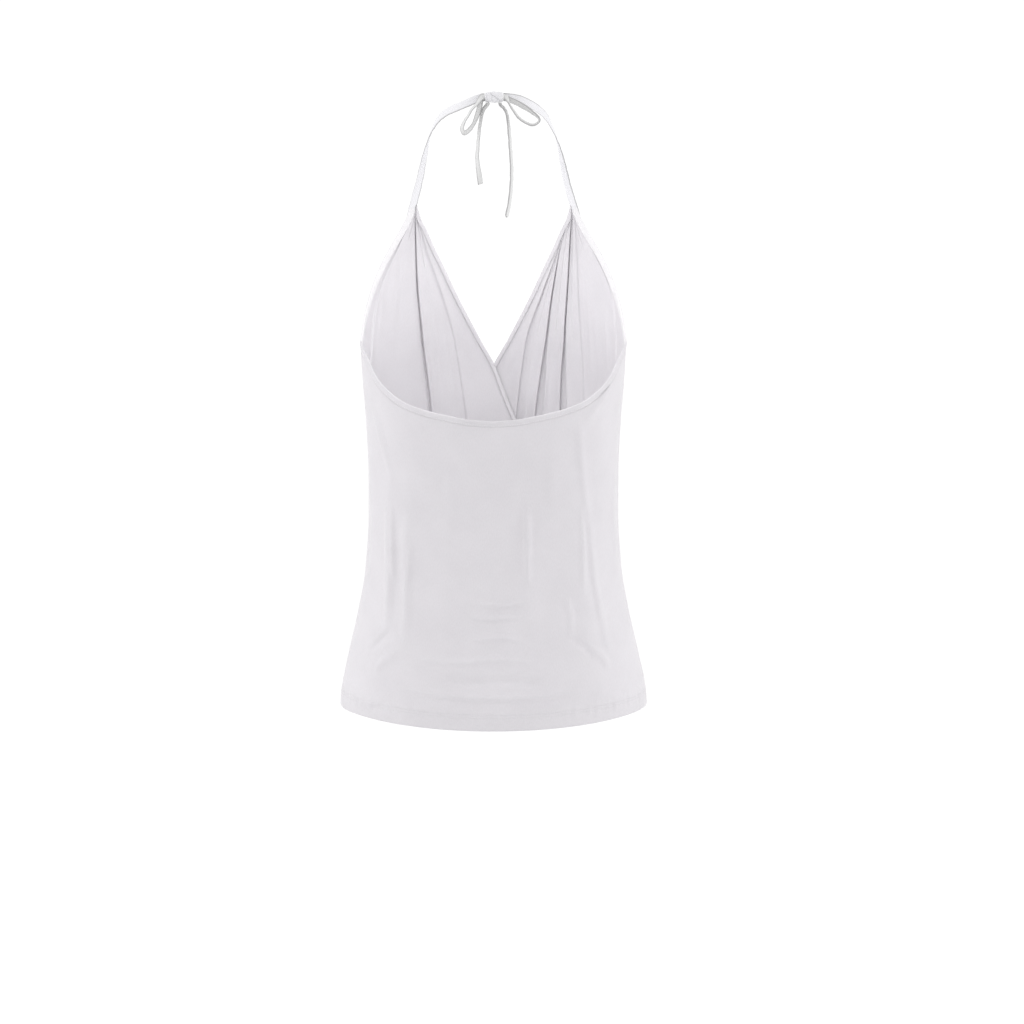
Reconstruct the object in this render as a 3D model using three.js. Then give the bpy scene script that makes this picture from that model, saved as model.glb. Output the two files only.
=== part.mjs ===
// Halter neck top in thin satin-faced jersey, held out as it is when worn.
// Two pleated front panels cross over each other, the back is cut low and straight across,
// and one narrow binding edges the armholes, runs on as neck straps and ends in a bow.
// Millimetres, +Z up, +X to the wearer's left, the front of the garment towards -Y.
// The origin is the middle of the nape, on the inner side of the bow's knot.

import * as THREE from 'three';

// Cloth and trim
const WALL = 1.2;
const SEAM_GAP = 0.3;
const BINDING_WIDTH = 6.5;
const BINDING_PROUD = 0.5;
const BINDING_DEPTH = 2.2;
const STRAP_WIDTH = 8.5;
const TIE_WIDTH = 6.0;
const RIBBON_DEPTH = 1.6;

// The hollow that the cloth encloses: an oval at each height, fuller at its quarters
const AXIS_Y = -49;
const FULLNESS = 0.18;
const FRONT = -1;
const BACK = 1;
const BODY = [
  { z: -98, half: 160, front: 58, back: 74 },
  { z: -118, half: 158, front: 66, back: 78 },
  { z: -188, half: 153, front: 94, back: 84 },
  { z: -261, half: 145.5, front: 116, back: 88 },
  { z: -298, half: 143.5, front: 120, back: 87 },
  { z: -348, half: 139.5, front: 112, back: 84 },
  { z: -408, half: 137, front: 101, back: 79 },
  { z: -448, half: 137, front: 97, back: 78 },
  { z: -508, half: 140.5, front: 98, back: 83 },
  { z: -558, half: 149, front: 102, back: 90 },
  { z: -608, half: 160.5, front: 105, back: 98 },
  { z: -648, half: 168, front: 107, back: 103 },
  { z: -688, half: 171, front: 108, back: 106 },
];

// Finished edges, as degrees round the body from the middle front or middle back
const ARMHOLE = [
  { z: -120, turn: 34.6 },
  { z: -126.6, turn: 37.0 },
  { z: -129.4, turn: 38.5 },
  { z: -140.5, turn: 41.7 },
  { z: -151.5, turn: 45.6 },
  { z: -173.7, turn: 53.3 },
  { z: -195.8, turn: 60.8 },
  { z: -219, turn: 69.2 },
  { z: -239.8, turn: 77.5 },
  { z: -251, turn: 82.2 },
  { z: -262, turn: 90 },
  { z: -268, turn: 98 },
];
const BACK_NECKLINE = [
  { turn: 0, z: -345.6 },
  { turn: 10, z: -344 },
  { turn: 20.5, z: -339.6 },
  { turn: 31.5, z: -334 },
  { turn: 43, z: -325.5 },
  { turn: 53, z: -313.5 },
  { turn: 62, z: -299 },
  { turn: 68, z: -285.5 },
  { turn: 73, z: -276.5 },
  { turn: 80, z: -269.5 },
  { turn: 90, z: -262 },
  { turn: 98, z: -255 },
];
const V_EDGE = [
  { z: -115, turn: 32.2 },
  { z: -129, turn: 31 },
  { z: -140, turn: 28.9 },
  { z: -162, turn: 25.2 },
  { z: -185, turn: 21 },
  { z: -218, turn: 15.3 },
  { z: -241, turn: 10.9 },
  { z: -265, turn: 6 },
  { z: -292, turn: 0 },
  { z: -320, turn: -4.4 },
  { z: -352, turn: -9.9 },
  { z: -428, turn: -27 },
  { z: -508, turn: -48 },
  { z: -578, turn: -70 },
  { z: -622, turn: -85 },
  { z: -634, turn: -90 },
];
const HEM = { side: -661.5, backDrop: 14.5, frontDrop: 10 };
const PANEL_TOP = -127;
const ARMHOLE_TOP = -126.6;

// Pleats: the columns of the panel that make each one, its turn round the body at four
// heights from the apex to the waist, how far it reaches to each side, and its depth
const PLEAT_LEVELS = [
  { z: -135, level: 'apex' },
  { z: -200, level: 'chest' },
  { z: -262, level: 'bust' },
  { z: -350, level: 'waist' },
];
const PLEAT_FADE = { start: -127, full: -205, ease: -350, end: -480 };
const PLEATS_LEFT = [
  { share: 0.21, apex: 29.8, chest: 25.4, bust: 23, waist: 19.5, reach: 0.035, depth: 1.6 },
  { share: 0.36, apex: 33.4, chest: 34, bust: 33.2, waist: 30.2, reach: 0.03, depth: 3.8 },
  { share: 0.5, apex: 35.6, chest: 42, bust: 43.5, waist: 43, reach: 0.036, depth: 1.8 },
  { share: 0.78, apex: 38.5, chest: 54, bust: 66, waist: 70, reach: 0.045, depth: 1.6 },
];
const PLEATS_RIGHT = [
  { share: 0.11, apex: 29.6, chest: 21.2, bust: 14.6, waist: 9.6, reach: 0.028, depth: 2.4 },
  { share: 0.23, apex: 31, chest: 26, bust: 23.7, waist: 17.6, reach: 0.03, depth: 3.6 },
  { share: 0.36, apex: 32.8, chest: 33.4, bust: 32.8, waist: 29.5, reach: 0.03, depth: 3.8 },
  { share: 0.5, apex: 35.4, chest: 41.6, bust: 44.1, waist: 45.2, reach: 0.036, depth: 2.4 },
  { share: 0.7, apex: 37.8, chest: 51, bust: 58, waist: 60, reach: 0.045, depth: 1.6 },
];
const PLEAT_ROOM = 0.55;
// One fold across its reach: a ridge turned in, a sharp drop, then a trough that eases out
const FOLD_PROFILE = [
  { at: -1.6, height: 0 },
  { at: -0.8, height: -0.7 },
  { at: 0, height: -1 },
  { at: 0.6, height: 1 },
  { at: 1.3, height: 0.7 },
  { at: 2, height: 0 },
];
// The right front lies over the left one, and eases away from it under the bust
const OVERLAP = { lift: 2, ease: 12, swell: 3.2, swellAt: -400, swellReach: 90 };

// Soft upright waves in the back, by degrees from the middle back
const BACK_WAVES = [
  { turn: 54, reach: 7, height: 1.5, from: -400, to: -640 },
  { turn: 41, reach: 5, height: 1.2, from: -390, to: -600 },
  { turn: -15, reach: 5, height: 1.3, from: -470, to: -600 },
  { turn: -43, reach: 7, height: 1.6, from: -400, to: -650 },
];

const ROWS = { armhole: 13, middle: 15, low: 9, lowFrom: -480 };
const COLUMNS = { least: 0.008, most: 0.05 };
const BACK_COLUMNS = 28;
const BACK_ROWS = 20;

// Ties: the middle line of each ribbon, the way it faces in plan and its turn about that line
const STRAP_LEFT = [
  { x: 89.7, y: -109.4, z: -125.9, face: 14 },
  { x: 88.2, y: -105, z: -114, face: 16 },
  { x: 85.7, y: -101.6, z: -100.8, face: 20 },
  { x: 82, y: -98, z: -85.5, face: 30 },
  { x: 77.9, y: -92.5, z: -68.2, face: 42 },
  { x: 73.7, y: -83, z: -51.2, face: 58 },
  { x: 69.6, y: -71, z: -38.1, face: 74 },
  { x: 64.1, y: -57, z: -27.5, face: 90 },
  { x: 57.7, y: -41, z: -20.3, face: 108 },
  { x: 49.7, y: -27, z: -15.2, face: 126 },
  { x: 40.9, y: -16, z: -11.9, face: 142 },
  { x: 31.1, y: -8, z: -8.4, face: 158 },
  { x: 21.3, y: -2, z: -4.5, face: 170 },
  { x: 12.6, y: 1.4, z: -1.6, face: 180 },
  { x: 8.8, y: 1.6, z: -1.2, face: 180 },
];
const STRAP_RIGHT = [
  { x: -89.4, y: -109.4, z: -125.9, face: -14 },
  { x: -87.2, y: -105, z: -114, face: -16 },
  { x: -84.2, y: -101.6, z: -100.8, face: -20 },
  { x: -80.6, y: -98, z: -85.5, face: -30 },
  { x: -76.6, y: -92.5, z: -68.2, face: -42 },
  { x: -72.4, y: -83, z: -51.2, face: -58 },
  { x: -68, y: -71, z: -38.1, face: -74 },
  { x: -62.8, y: -57, z: -27.5, face: -90 },
  { x: -57.2, y: -41, z: -19.2, face: -108 },
  { x: -50.5, y: -27, z: -13.6, face: -126 },
  { x: -41.8, y: -16, z: -8.4, face: -142 },
  { x: -32.1, y: -8, z: -4.1, face: -158 },
  { x: -22.5, y: -2, z: -1.8, face: -170 },
  { x: -15, y: 1.4, z: -1.2, face: -180 },
  { x: -11.2, y: 1.6, z: -1.2, face: -180 },
];
const KNOT = { x: -1.2, y: 5.9, z: -1.4, halfWidth: 9.6, depth: 5.6, height: 5.8 };
const KNOT_PROFILE = [0.84, 0.94, 0.98, 0.97, 1.06, 1.06, 0.97, 0.98, 0.94, 0.84];
const LOOP_LEFT = [
  { x: 8.9, y: 8.8, z: -0.8, turn: 0 },
  { x: 11.2, y: 8.8, z: -0.8, turn: 10 },
  { x: 14, y: 10, z: -4.2, turn: 40 },
  { x: 17, y: 11.6, z: -9, turn: 68 },
  { x: 22.1, y: 13, z: -14.6, turn: 80 },
  { x: 26.1, y: 13.4, z: -21.1, turn: 84 },
  { x: 30.1, y: 13.2, z: -27.6, turn: 84 },
  { x: 33, y: 12.4, z: -35, turn: 86 },
  { x: 30.6, y: 11.6, z: -39.6, turn: 88 },
  { x: 25.7, y: 10.6, z: -37, turn: 84 },
  { x: 20.6, y: 9.6, z: -30, turn: 60 },
  { x: 16.8, y: 8.4, z: -21, turn: 40 },
  { x: 14.2, y: 6.8, z: -12, turn: 25 },
  { x: 12.9, y: 5.5, z: -5.4, turn: 10 },
  { x: 11.1, y: 5.2, z: -2.8, turn: 0 },
  { x: 8.9, y: 5.2, z: -2.8, turn: 0 },
];
const LOOP_RIGHT = [
  { x: -11.3, y: 8.8, z: -1.6, turn: 0 },
  { x: -13.4, y: 8.8, z: -1.6, turn: -20 },
  { x: -17.1, y: 10.6, z: -8.6, turn: -80 },
  { x: -21.1, y: 12, z: -14.7, turn: -86 },
  { x: -26, y: 13, z: -22, turn: -88 },
  { x: -31.6, y: 13.2, z: -26.8, turn: -88 },
  { x: -37.3, y: 13.2, z: -30, turn: -88 },
  { x: -43, y: 12.6, z: -31.2, turn: -90 },
  { x: -47.9, y: 11.6, z: -29, turn: -90 },
  { x: -49.6, y: 10.6, z: -25.7, turn: -90 },
  { x: -47.2, y: 9.6, z: -21.9, turn: -80 },
  { x: -41.4, y: 8.6, z: -17.3, turn: -50 },
  { x: -34.9, y: 7.6, z: -12.8, turn: -35 },
  { x: -26.7, y: 6.6, z: -8.1, turn: -22 },
  { x: -18.2, y: 5.6, z: -4.4, turn: -10 },
  { x: -13.6, y: 5.2, z: -2.8, turn: 0 },
  { x: -11.3, y: 5.2, z: -2.8, turn: 0 },
];
const TIE_LEFT = [
  { x: 5.6, y: 5.9, z: -7.3, turn: 50 },
  { x: 5.8, y: 6, z: -9.4, turn: 50 },
  { x: 9.8, y: 6.4, z: -14, turn: 54 },
  { x: 12.6, y: 6.6, z: -24, turn: 60 },
  { x: 14.6, y: 7, z: -36.7, turn: 62 },
  { x: 16, y: 7.4, z: -52.5, turn: 62 },
  { x: 16.8, y: 7.6, z: -66.2, turn: 55 },
  { x: 15.4, y: 7.8, z: -78.9, turn: 35 },
  { x: 13.2, y: 8, z: -93.7, turn: 10 },
];
const TIE_RIGHT = [
  { x: -7.4, y: 5.9, z: -7.4, turn: -60 },
  { x: -7.7, y: 6, z: -9.4, turn: -60 },
  { x: -12, y: 6.6, z: -13.4, turn: -62 },
  { x: -15.2, y: 7, z: -21, turn: -64 },
  { x: -17.2, y: 7.4, z: -36.7, turn: -60 },
  { x: -18.8, y: 7.6, z: -57.8, turn: -58 },
  { x: -20, y: 7.8, z: -78.9, turn: -56 },
  { x: -19.3, y: 8, z: -97.9, turn: -56 },
  { x: -17.5, y: 8, z: -113.8, turn: -54 },
  { x: -14.5, y: 8, z: -129.2, turn: -50 },
];
const RIBBON_STEPS_PER_POINT = 2;

const CLOTH = { color: 0xeeebf0, roughness: 0.62, metalness: 0 };
const TRIM = { color: 0xf6f5f7, roughness: 0.55, metalness: 0 };

const rad = THREE.MathUtils.degToRad;
const SIDE = 90;

// A table's column at any key, on a smooth curve that never overshoots its rows
function along(table, key, at, column) {
  const rising = table[0][key] < table[table.length - 1][key];
  const rows = rising ? table : [...table].reverse();
  const last = rows.length - 1;
  if (at <= rows[0][key]) return rows[0][column];
  if (at >= rows[last][key]) return rows[last][column];
  const i = rows.findIndex((row) => row[key] > at) - 1;
  const gap = (k) => rows[k + 1][key] - rows[k][key];
  const slope = (k) => (rows[k + 1][column] - rows[k][column]) / gap(k);
  const tangent = (k) => {
    if (k === 0) return slope(0);
    if (k === last) return slope(last - 1);
    const before = slope(k - 1);
    const after = slope(k);
    return before * after <= 0 ? 0 : (2 * before * after) / (before + after);
  };
  const t = (at - rows[i][key]) / gap(i);
  const rise = rows[i + 1][column] - rows[i][column];
  const start = tangent(i) * gap(i);
  const end = tangent(i + 1) * gap(i);
  return rows[i][column] + t * start + t * t * (3 * rise - 2 * start - end)
    + t * t * t * (start + end - 2 * rise);
}

// A point on the hollow's oval at a turn and height, on its front or its back
function bodyPoint(turn, z, side) {
  const half = along(BODY, 'z', z, 'half');
  const depth = along(BODY, 'z', z, side === FRONT ? 'front' : 'back');
  const s = Math.sin(turn);
  const y = AXIS_Y + side * depth * Math.cos(turn) * (1 + FULLNESS * s * s);
  return new THREE.Vector3(half * s, y, z);
}

// A point on the body, its outward normal, and how fast it moves with the turn
function onBody(turn, z, side) {
  const point = bodyPoint(turn, z, side);
  const small = 0.01;
  const across = bodyPoint(turn + small, z, side).sub(bodyPoint(turn - small, z, side));
  const up = bodyPoint(turn, z + 1, side).sub(bodyPoint(turn, z - 1, side));
  const normal = new THREE.Vector3().crossVectors(across, up).normalize();
  if (side === BACK) normal.negate();
  return { point, normal, speed: across.length() / (2 * small) };
}

function lifted(turn, z, side, lift) {
  const spot = onBody(turn, z, side);
  return spot.point.addScaledVector(spot.normal, lift);
}

// The turn at which a piece stops short of the side seam's plane
function seamTurn(z, side) {
  const depth = along(BODY, 'z', z, side === FRONT ? 'front' : 'back');
  return Math.acos(SEAM_GAP / 2 / (depth * (1 + FULLNESS)));
}

// A closed solid from points and faces, turned so that its faces point out
function closedSolid(points, faces) {
  let volume = 0;
  for (const [a, b, c] of faces) {
    volume += points[a].dot(new THREE.Vector3().crossVectors(points[b], points[c]));
  }
  const ordered = volume > 0 ? faces : faces.map(([a, b, c]) => [a, c, b]);
  const geometry = new THREE.BufferGeometry();
  geometry.setAttribute('position', new THREE.Float32BufferAttribute(
    points.flatMap((point) => point.toArray()), 3));
  geometry.setIndex(ordered.flat());
  geometry.computeVertexNormals();
  return geometry;
}

// A cloth wall: a grid of outer points, and the same grid moved in along its own normals
function clothWall(grid) {
  const rows = grid.length;
  const columns = grid[0].length;
  const inner = grid.map((row, i) => row.map((point, j) => {
    const up = grid[Math.max(i - 1, 0)][j];
    const down = grid[Math.min(i + 1, rows - 1)][j];
    const before = row[Math.max(j - 1, 0)];
    const after = row[Math.min(j + 1, columns - 1)];
    const across = new THREE.Vector3().subVectors(after, before);
    const fall = new THREE.Vector3().subVectors(down, up);
    const normal = new THREE.Vector3().crossVectors(across, fall).normalize();
    const away = new THREE.Vector3(point.x, point.y - AXIS_Y, 0);
    if (normal.dot(away) < 0) normal.negate();
    return point.clone().addScaledVector(normal, -WALL);
  }));
  const points = [...grid.flat(), ...inner.flat()];
  const size = rows * columns;
  const faces = [];
  const quad = (a, b, c, d) => faces.push([a, b, c], [a, c, d]);
  const at = (i, j) => i * columns + j;
  for (let i = 0; i < rows - 1; i += 1) {
    for (let j = 0; j < columns - 1; j += 1) {
      quad(at(i, j), at(i, j + 1), at(i + 1, j + 1), at(i + 1, j));
      quad(size + at(i, j), size + at(i + 1, j), size + at(i + 1, j + 1), size + at(i, j + 1));
    }
  }
  for (let j = 0; j < columns - 1; j += 1) {
    quad(at(0, j), size + at(0, j), size + at(0, j + 1), at(0, j + 1));
    quad(at(rows - 1, j), at(rows - 1, j + 1), size + at(rows - 1, j + 1), size + at(rows - 1, j));
  }
  for (let i = 0; i < rows - 1; i += 1) {
    quad(at(i, 0), at(i + 1, 0), size + at(i + 1, 0), size + at(i, 0));
    quad(at(i, columns - 1), size + at(i, columns - 1),
      size + at(i + 1, columns - 1), at(i + 1, columns - 1));
  }
  return closedSolid(points, faces);
}

// A solid through rings of equal count, with flat ends
function ringSolid(rings) {
  const count = rings[0].length;
  const faces = [];
  for (let i = 0; i < rings.length - 1; i += 1) {
    for (let j = 0; j < count; j += 1) {
      const next = (j + 1) % count;
      const a = i * count + j;
      const b = i * count + next;
      faces.push([a, b, b + count], [a, b + count, a + count]);
    }
  }
  const end = (rings.length - 1) * count;
  for (let j = 1; j < count - 1; j += 1) {
    faces.push([0, j + 1, j], [end, end + j, end + j + 1]);
  }
  return closedSolid(rings.flat(), faces);
}

function evenSteps(from, to, steps) {
  return Array.from({ length: steps + 1 }, (_, k) => from + ((to - from) * k) / steps);
}

// An edge moved down and across the cloth by a distance
function insetEdge(edge, side, distance) {
  return edge.map((row, k) => {
    const before = edge[Math.max(k - 1, 0)];
    const after = edge[Math.min(k + 1, edge.length - 1)];
    const speed = onBody(rad(row.turn), row.z, side).speed * rad(1);
    const across = (after.turn - before.turn) * speed;
    const rise = after.z - before.z;
    const length = Math.hypot(across, rise);
    return {
      turn: row.turn + (rise * distance) / length / speed,
      z: row.z - (across * distance) / length,
    };
  });
}

// The seams where the panels start, just beyond the bindings
const armholeSeam = insetEdge(ARMHOLE, FRONT, BINDING_WIDTH + SEAM_GAP);
const necklineSeam = insetEdge(BACK_NECKLINE, BACK, BINDING_WIDTH + SEAM_GAP);

// How far the pleats have died out at a height
function dying(z) {
  return THREE.MathUtils.smoothstep(PLEAT_FADE.ease - z, 0, PLEAT_FADE.ease - PLEAT_FADE.end);
}

// How far a pleat stands off the panel at a share of its width and a height
function pleatHeight(pleats, share, z) {
  const opening = THREE.MathUtils.smoothstep(
    PLEAT_FADE.start - z, 0, PLEAT_FADE.start - PLEAT_FADE.full);
  let height = 0;
  for (const pleat of pleats) {
    const at = (share - pleat.share) / pleat.reach;
    if (Math.abs(at) <= 2) height += pleat.depth * along(FOLD_PROFILE, 'at', at, 'height');
  }
  return height * opening * (1 - dying(z));
}

// The columns of a front panel: a cluster at each pleat, with plain ones between them
function panelColumns(pleats) {
  const clusters = pleats.flatMap(
    (pleat) => FOLD_PROFILE.map((row) => pleat.share + row.at * pleat.reach));
  const marks = [0, ...clusters, 1].sort((a, b) => a - b);
  const columns = [0];
  for (const mark of marks) {
    const from = columns[columns.length - 1];
    if (mark - from < COLUMNS.least) continue;
    const parts = Math.ceil((mark - from) / COLUMNS.most);
    for (let k = 1; k <= parts; k += 1) columns.push(from + ((mark - from) * k) / parts);
  }
  return columns;
}

// The turn of a panel's column at a height: its pleats keep to their own lines between the
// V edge and the outer edge, never crowd past either, and spread evenly where they die out
function columnTurn(pleats, share, z, inner, outer) {
  const width = outer - inner;
  const place = (pleat) => {
    const rows = PLEAT_LEVELS.map((row) => ({ z: row.z, turn: pleat[row.level] }));
    const least = inner + PLEAT_ROOM * pleat.share * width;
    const most = outer - PLEAT_ROOM * (1 - pleat.share) * width;
    const line = THREE.MathUtils.clamp(rad(along(rows, 'z', z, 'turn')), least, most);
    return THREE.MathUtils.lerp(line, inner + pleat.share * width, dying(z));
  };
  const knots = [
    { share: 0, turn: inner },
    ...pleats.map((pleat) => ({ share: pleat.share, turn: place(pleat) })),
    { share: 1, turn: outer },
  ];
  const k = Math.max(knots.findIndex((knot) => knot.share >= share), 1);
  const from = knots[k - 1];
  const to = knots[k];
  return THREE.MathUtils.mapLinear(share, from.share, to.share, from.turn, to.turn);
}

function hemHeight(turn, side) {
  const drop = side === FRONT ? HEM.frontDrop : HEM.backDrop;
  return HEM.side - drop * Math.cos(turn) ** 2;
}

// A front panel, for the wearer's left (hand 1) or right (hand -1); over says it lies on top
function frontPanel(hand, pleats, over) {
  const sideTop = along(armholeSeam, 'turn', SIDE, 'z');
  const levels = [
    ...evenSteps(PANEL_TOP, sideTop, ROWS.armhole),
    ...evenSteps(sideTop, ROWS.lowFrom, ROWS.middle).slice(1),
    ...evenSteps(ROWS.lowFrom, HEM.side, ROWS.low).slice(1),
  ];
  const columns = panelColumns(pleats);
  const grid = levels.map((level) => columns.map((share) => {
    const seam = seamTurn(level, FRONT);
    const inner = Math.max(rad(along(V_EDGE, 'z', level, 'turn')), -seam);
    const outer = Math.min(rad(along(armholeSeam, 'z', level, 'turn')), seam);
    const turn = columnTurn(pleats, share, level, inner, outer);
    const low = THREE.MathUtils.smoothstep(ROWS.lowFrom - level, 0, ROWS.lowFrom - HEM.side);
    const z = level + low * (hemHeight(turn, FRONT) - HEM.side);
    const lift = pleatHeight(pleats, share, level) + (over ? overlapLift(turn, level) : 0);
    const point = lifted(turn, z, FRONT, lift);
    point.x *= hand;
    return point;
  }));
  return clothWall(grid);
}

// The over panel stands off the under one wherever that one's V edge has passed beneath
function overlapLift(turn, z) {
  const underEdge = -rad(along(V_EDGE, 'z', z, 'turn'));
  const ease = rad(OVERLAP.ease);
  const share = THREE.MathUtils.smoothstep(underEdge + ease - turn, 0, ease);
  const swell = OVERLAP.swell * Math.exp(-(((z - OVERLAP.swellAt) / OVERLAP.swellReach) ** 2));
  return share * (OVERLAP.lift + swell * Math.cos(turn) ** 2);
}

function backWave(turn, z) {
  let height = 0;
  for (const wave of BACK_WAVES) {
    const offset = (turn - rad(wave.turn)) / rad(wave.reach);
    const middle = (wave.from + wave.to) / 2;
    const length = (wave.from - wave.to) / 2;
    const fade = Math.max(0, 1 - ((z - middle) / length) ** 2);
    height += wave.height * Math.exp(-offset * offset) * fade;
  }
  return height;
}

// The back: one piece from side seam to side seam, under the low neckline
function backPanel() {
  const grid = [];
  for (let i = 0; i <= BACK_ROWS; i += 1) {
    const share = i / BACK_ROWS;
    grid.push(Array.from({ length: BACK_COLUMNS + 1 }, (_, j) => {
      const across = (2 * j) / BACK_COLUMNS - 1;
      const wide = across * Math.PI / 2;
      const top = along(necklineSeam, 'turn', Math.abs(THREE.MathUtils.radToDeg(wide)), 'z');
      const z = THREE.MathUtils.lerp(top, hemHeight(wide, BACK), share);
      const seam = seamTurn(z, BACK);
      const turn = THREE.MathUtils.clamp(wide, -seam, seam);
      return lifted(turn, z, BACK, backWave(turn, z));
    }));
  }
  return clothWall(grid);
}

// A binding: a flat band folded over a finished edge, a little proud of both faces
function bindingRings(near, far, side, hand) {
  const corner = (spot, lift) => {
    const turn = Math.min(rad(spot.turn), seamTurn(spot.z, side));
    const point = lifted(turn, spot.z, side, lift);
    point.x *= hand;
    return point;
  };
  return near.map((row, k) => [
    corner(row, BINDING_PROUD),
    corner(far[k], BINDING_PROUD),
    corner(far[k], BINDING_PROUD - BINDING_DEPTH),
    corner(row, BINDING_PROUD - BINDING_DEPTH),
  ]);
}

function armholeBinding(hand) {
  const rows = (edge) => evenSteps(ARMHOLE_TOP, along(edge, 'turn', SIDE, 'z'), ROWS.armhole)
    .map((z) => ({ z, turn: along(edge, 'z', z, 'turn') }));
  const inner = insetEdge(ARMHOLE, FRONT, BINDING_WIDTH);
  return ringSolid(bindingRings(rows(ARMHOLE), rows(inner), FRONT, hand));
}

function neckBinding() {
  const rows = (edge) => evenSteps(0, SIDE, BACK_COLUMNS / 2)
    .map((turn) => ({ turn, z: along(edge, 'turn', turn, 'z') }));
  const inner = insetEdge(BACK_NECKLINE, BACK, BINDING_WIDTH);
  const half = (hand) => bindingRings(rows(BACK_NECKLINE), rows(inner), BACK, hand);
  return ringSolid([...half(-1).slice(1).reverse(), ...half(1)]);
}

// A flat ribbon along a middle line, turned about it as its table says
function ribbon(rows, width) {
  const curve = new THREE.CatmullRomCurve3(
    rows.map((row) => new THREE.Vector3(row.x, row.y, row.z)), false, 'centripetal');
  const spans = rows.length - 1;
  const steps = spans * RIBBON_STEPS_PER_POINT;
  const mix = (t, column, plain) => {
    const k = Math.min(Math.floor(t * spans), spans - 1);
    const from = rows[k][column] ?? plain;
    const to = rows[k + 1][column] ?? plain;
    return THREE.MathUtils.lerp(from, to, t * spans - k);
  };
  const rings = Array.from({ length: steps + 1 }, (_, i) => {
    const t = i / steps;
    const point = curve.getPoint(t);
    const tangent = curve.getTangent(t);
    const face = rad(mix(t, 'face', 180));
    const normal = new THREE.Vector3(Math.sin(face), -Math.cos(face), 0);
    normal.addScaledVector(tangent, -normal.dot(tangent)).normalize();
    normal.applyAxisAngle(tangent, rad(mix(t, 'turn', 0)));
    const across = new THREE.Vector3().crossVectors(tangent, normal);
    const corner = (u, v) => point.clone()
      .addScaledVector(across, u * width / 2)
      .addScaledVector(normal, v * RIBBON_DEPTH / 2);
    return [corner(-1, -1), corner(1, -1), corner(1, 1), corner(-1, 1)];
  });
  return ringSolid(rings);
}

// The bow's knot: a small squarish barrel across the nape, thickest at the wrap in its middle
function knotSolid() {
  const sides = 12;
  const squared = (value) => Math.sign(value) * Math.abs(value) ** 0.7;
  const rings = KNOT_PROFILE.map((scale, i) => {
    const offset = (2 * i) / (KNOT_PROFILE.length - 1) - 1;
    return Array.from({ length: sides }, (_, j) => {
      const angle = (2 * Math.PI * j) / sides;
      return new THREE.Vector3(
        KNOT.x + offset * KNOT.halfWidth,
        KNOT.y + KNOT.depth * scale * squared(Math.cos(angle)),
        KNOT.z + KNOT.height * scale * squared(Math.sin(angle)));
    });
  });
  return ringSolid(rings);
}

const garment = new THREE.Group();

function add(name, geometry, look) {
  const mesh = new THREE.Mesh(geometry, new THREE.MeshStandardMaterial(look));
  mesh.name = name;
  garment.add(mesh);
}

add('back_panel', backPanel(), CLOTH);
add('front_panel_left', frontPanel(1, PLEATS_LEFT, false), CLOTH);
add('front_panel_right', frontPanel(-1, PLEATS_RIGHT, true), CLOTH);
add('armhole_binding_left', armholeBinding(1), TRIM);
add('armhole_binding_right', armholeBinding(-1), TRIM);
add('back_neck_binding', neckBinding(), TRIM);
add('strap_left', ribbon(STRAP_LEFT, STRAP_WIDTH), TRIM);
add('strap_right', ribbon(STRAP_RIGHT, STRAP_WIDTH), TRIM);
add('knot', knotSolid(), TRIM);
add('bow_loop_left', ribbon(LOOP_LEFT, TIE_WIDTH), TRIM);
add('bow_loop_right', ribbon(LOOP_RIGHT, TIE_WIDTH), TRIM);
add('tie_end_left', ribbon(TIE_LEFT, TIE_WIDTH), TRIM);
add('tie_end_right', ribbon(TIE_RIGHT, TIE_WIDTH), TRIM);

export default garment;
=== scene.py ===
# %% [markdown]
# # A halter neck top, from behind
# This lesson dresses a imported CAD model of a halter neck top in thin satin-faced jersey.
# The front is two pleated panels that cross over each other, the back is one low-cut piece,
# and a narrow binding edges the armholes, runs on as neck straps and ends in a bow.
# The cloth stands as it does when worn, with nobody in it.
# Lengths in the tables are millimetres, +Z is up, +X is the wearer's left, and the front
# looks towards -Y. The origin is the middle of the nape, where the bow's knot lies.

import math

import bpy
import numpy as np
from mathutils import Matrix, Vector


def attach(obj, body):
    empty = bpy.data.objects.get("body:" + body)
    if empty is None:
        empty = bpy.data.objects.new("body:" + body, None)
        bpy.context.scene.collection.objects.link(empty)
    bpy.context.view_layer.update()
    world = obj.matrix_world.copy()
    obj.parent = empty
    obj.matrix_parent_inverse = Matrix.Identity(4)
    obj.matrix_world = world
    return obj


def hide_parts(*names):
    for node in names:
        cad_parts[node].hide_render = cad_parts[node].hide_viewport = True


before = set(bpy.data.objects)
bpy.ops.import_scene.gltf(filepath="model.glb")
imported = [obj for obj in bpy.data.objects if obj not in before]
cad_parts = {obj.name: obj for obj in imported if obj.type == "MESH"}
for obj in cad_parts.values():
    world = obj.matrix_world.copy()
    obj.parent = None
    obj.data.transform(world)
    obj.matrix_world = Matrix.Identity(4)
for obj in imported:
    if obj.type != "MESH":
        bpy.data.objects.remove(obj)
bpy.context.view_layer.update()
print("CAD nodes:", ", ".join(sorted(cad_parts)))

# %% [markdown]
# ## The camera
# The camera comes first, because the hanging tie ends are judged by what it sees. The
# picture was taken from straight behind the garment, about five degrees above level, with
# a long lens, so the camera stands nearly three metres away and looks slightly down.

# %% Place the camera
MM = 0.001
CAMERA_PLACE = Vector((-20.35, 2939.6, -188.5)) * MM
CAMERA_DOWN = 5
CAMERA_LENS = 95.9
CAMERA_SENSOR = 36
CAMERA_REACH = 60


def place_object(name, data):
    """Make an object of some data and link it into the scene."""
    thing = bpy.data.objects.new(name, data)
    bpy.context.scene.collection.objects.link(thing)
    return thing


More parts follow.
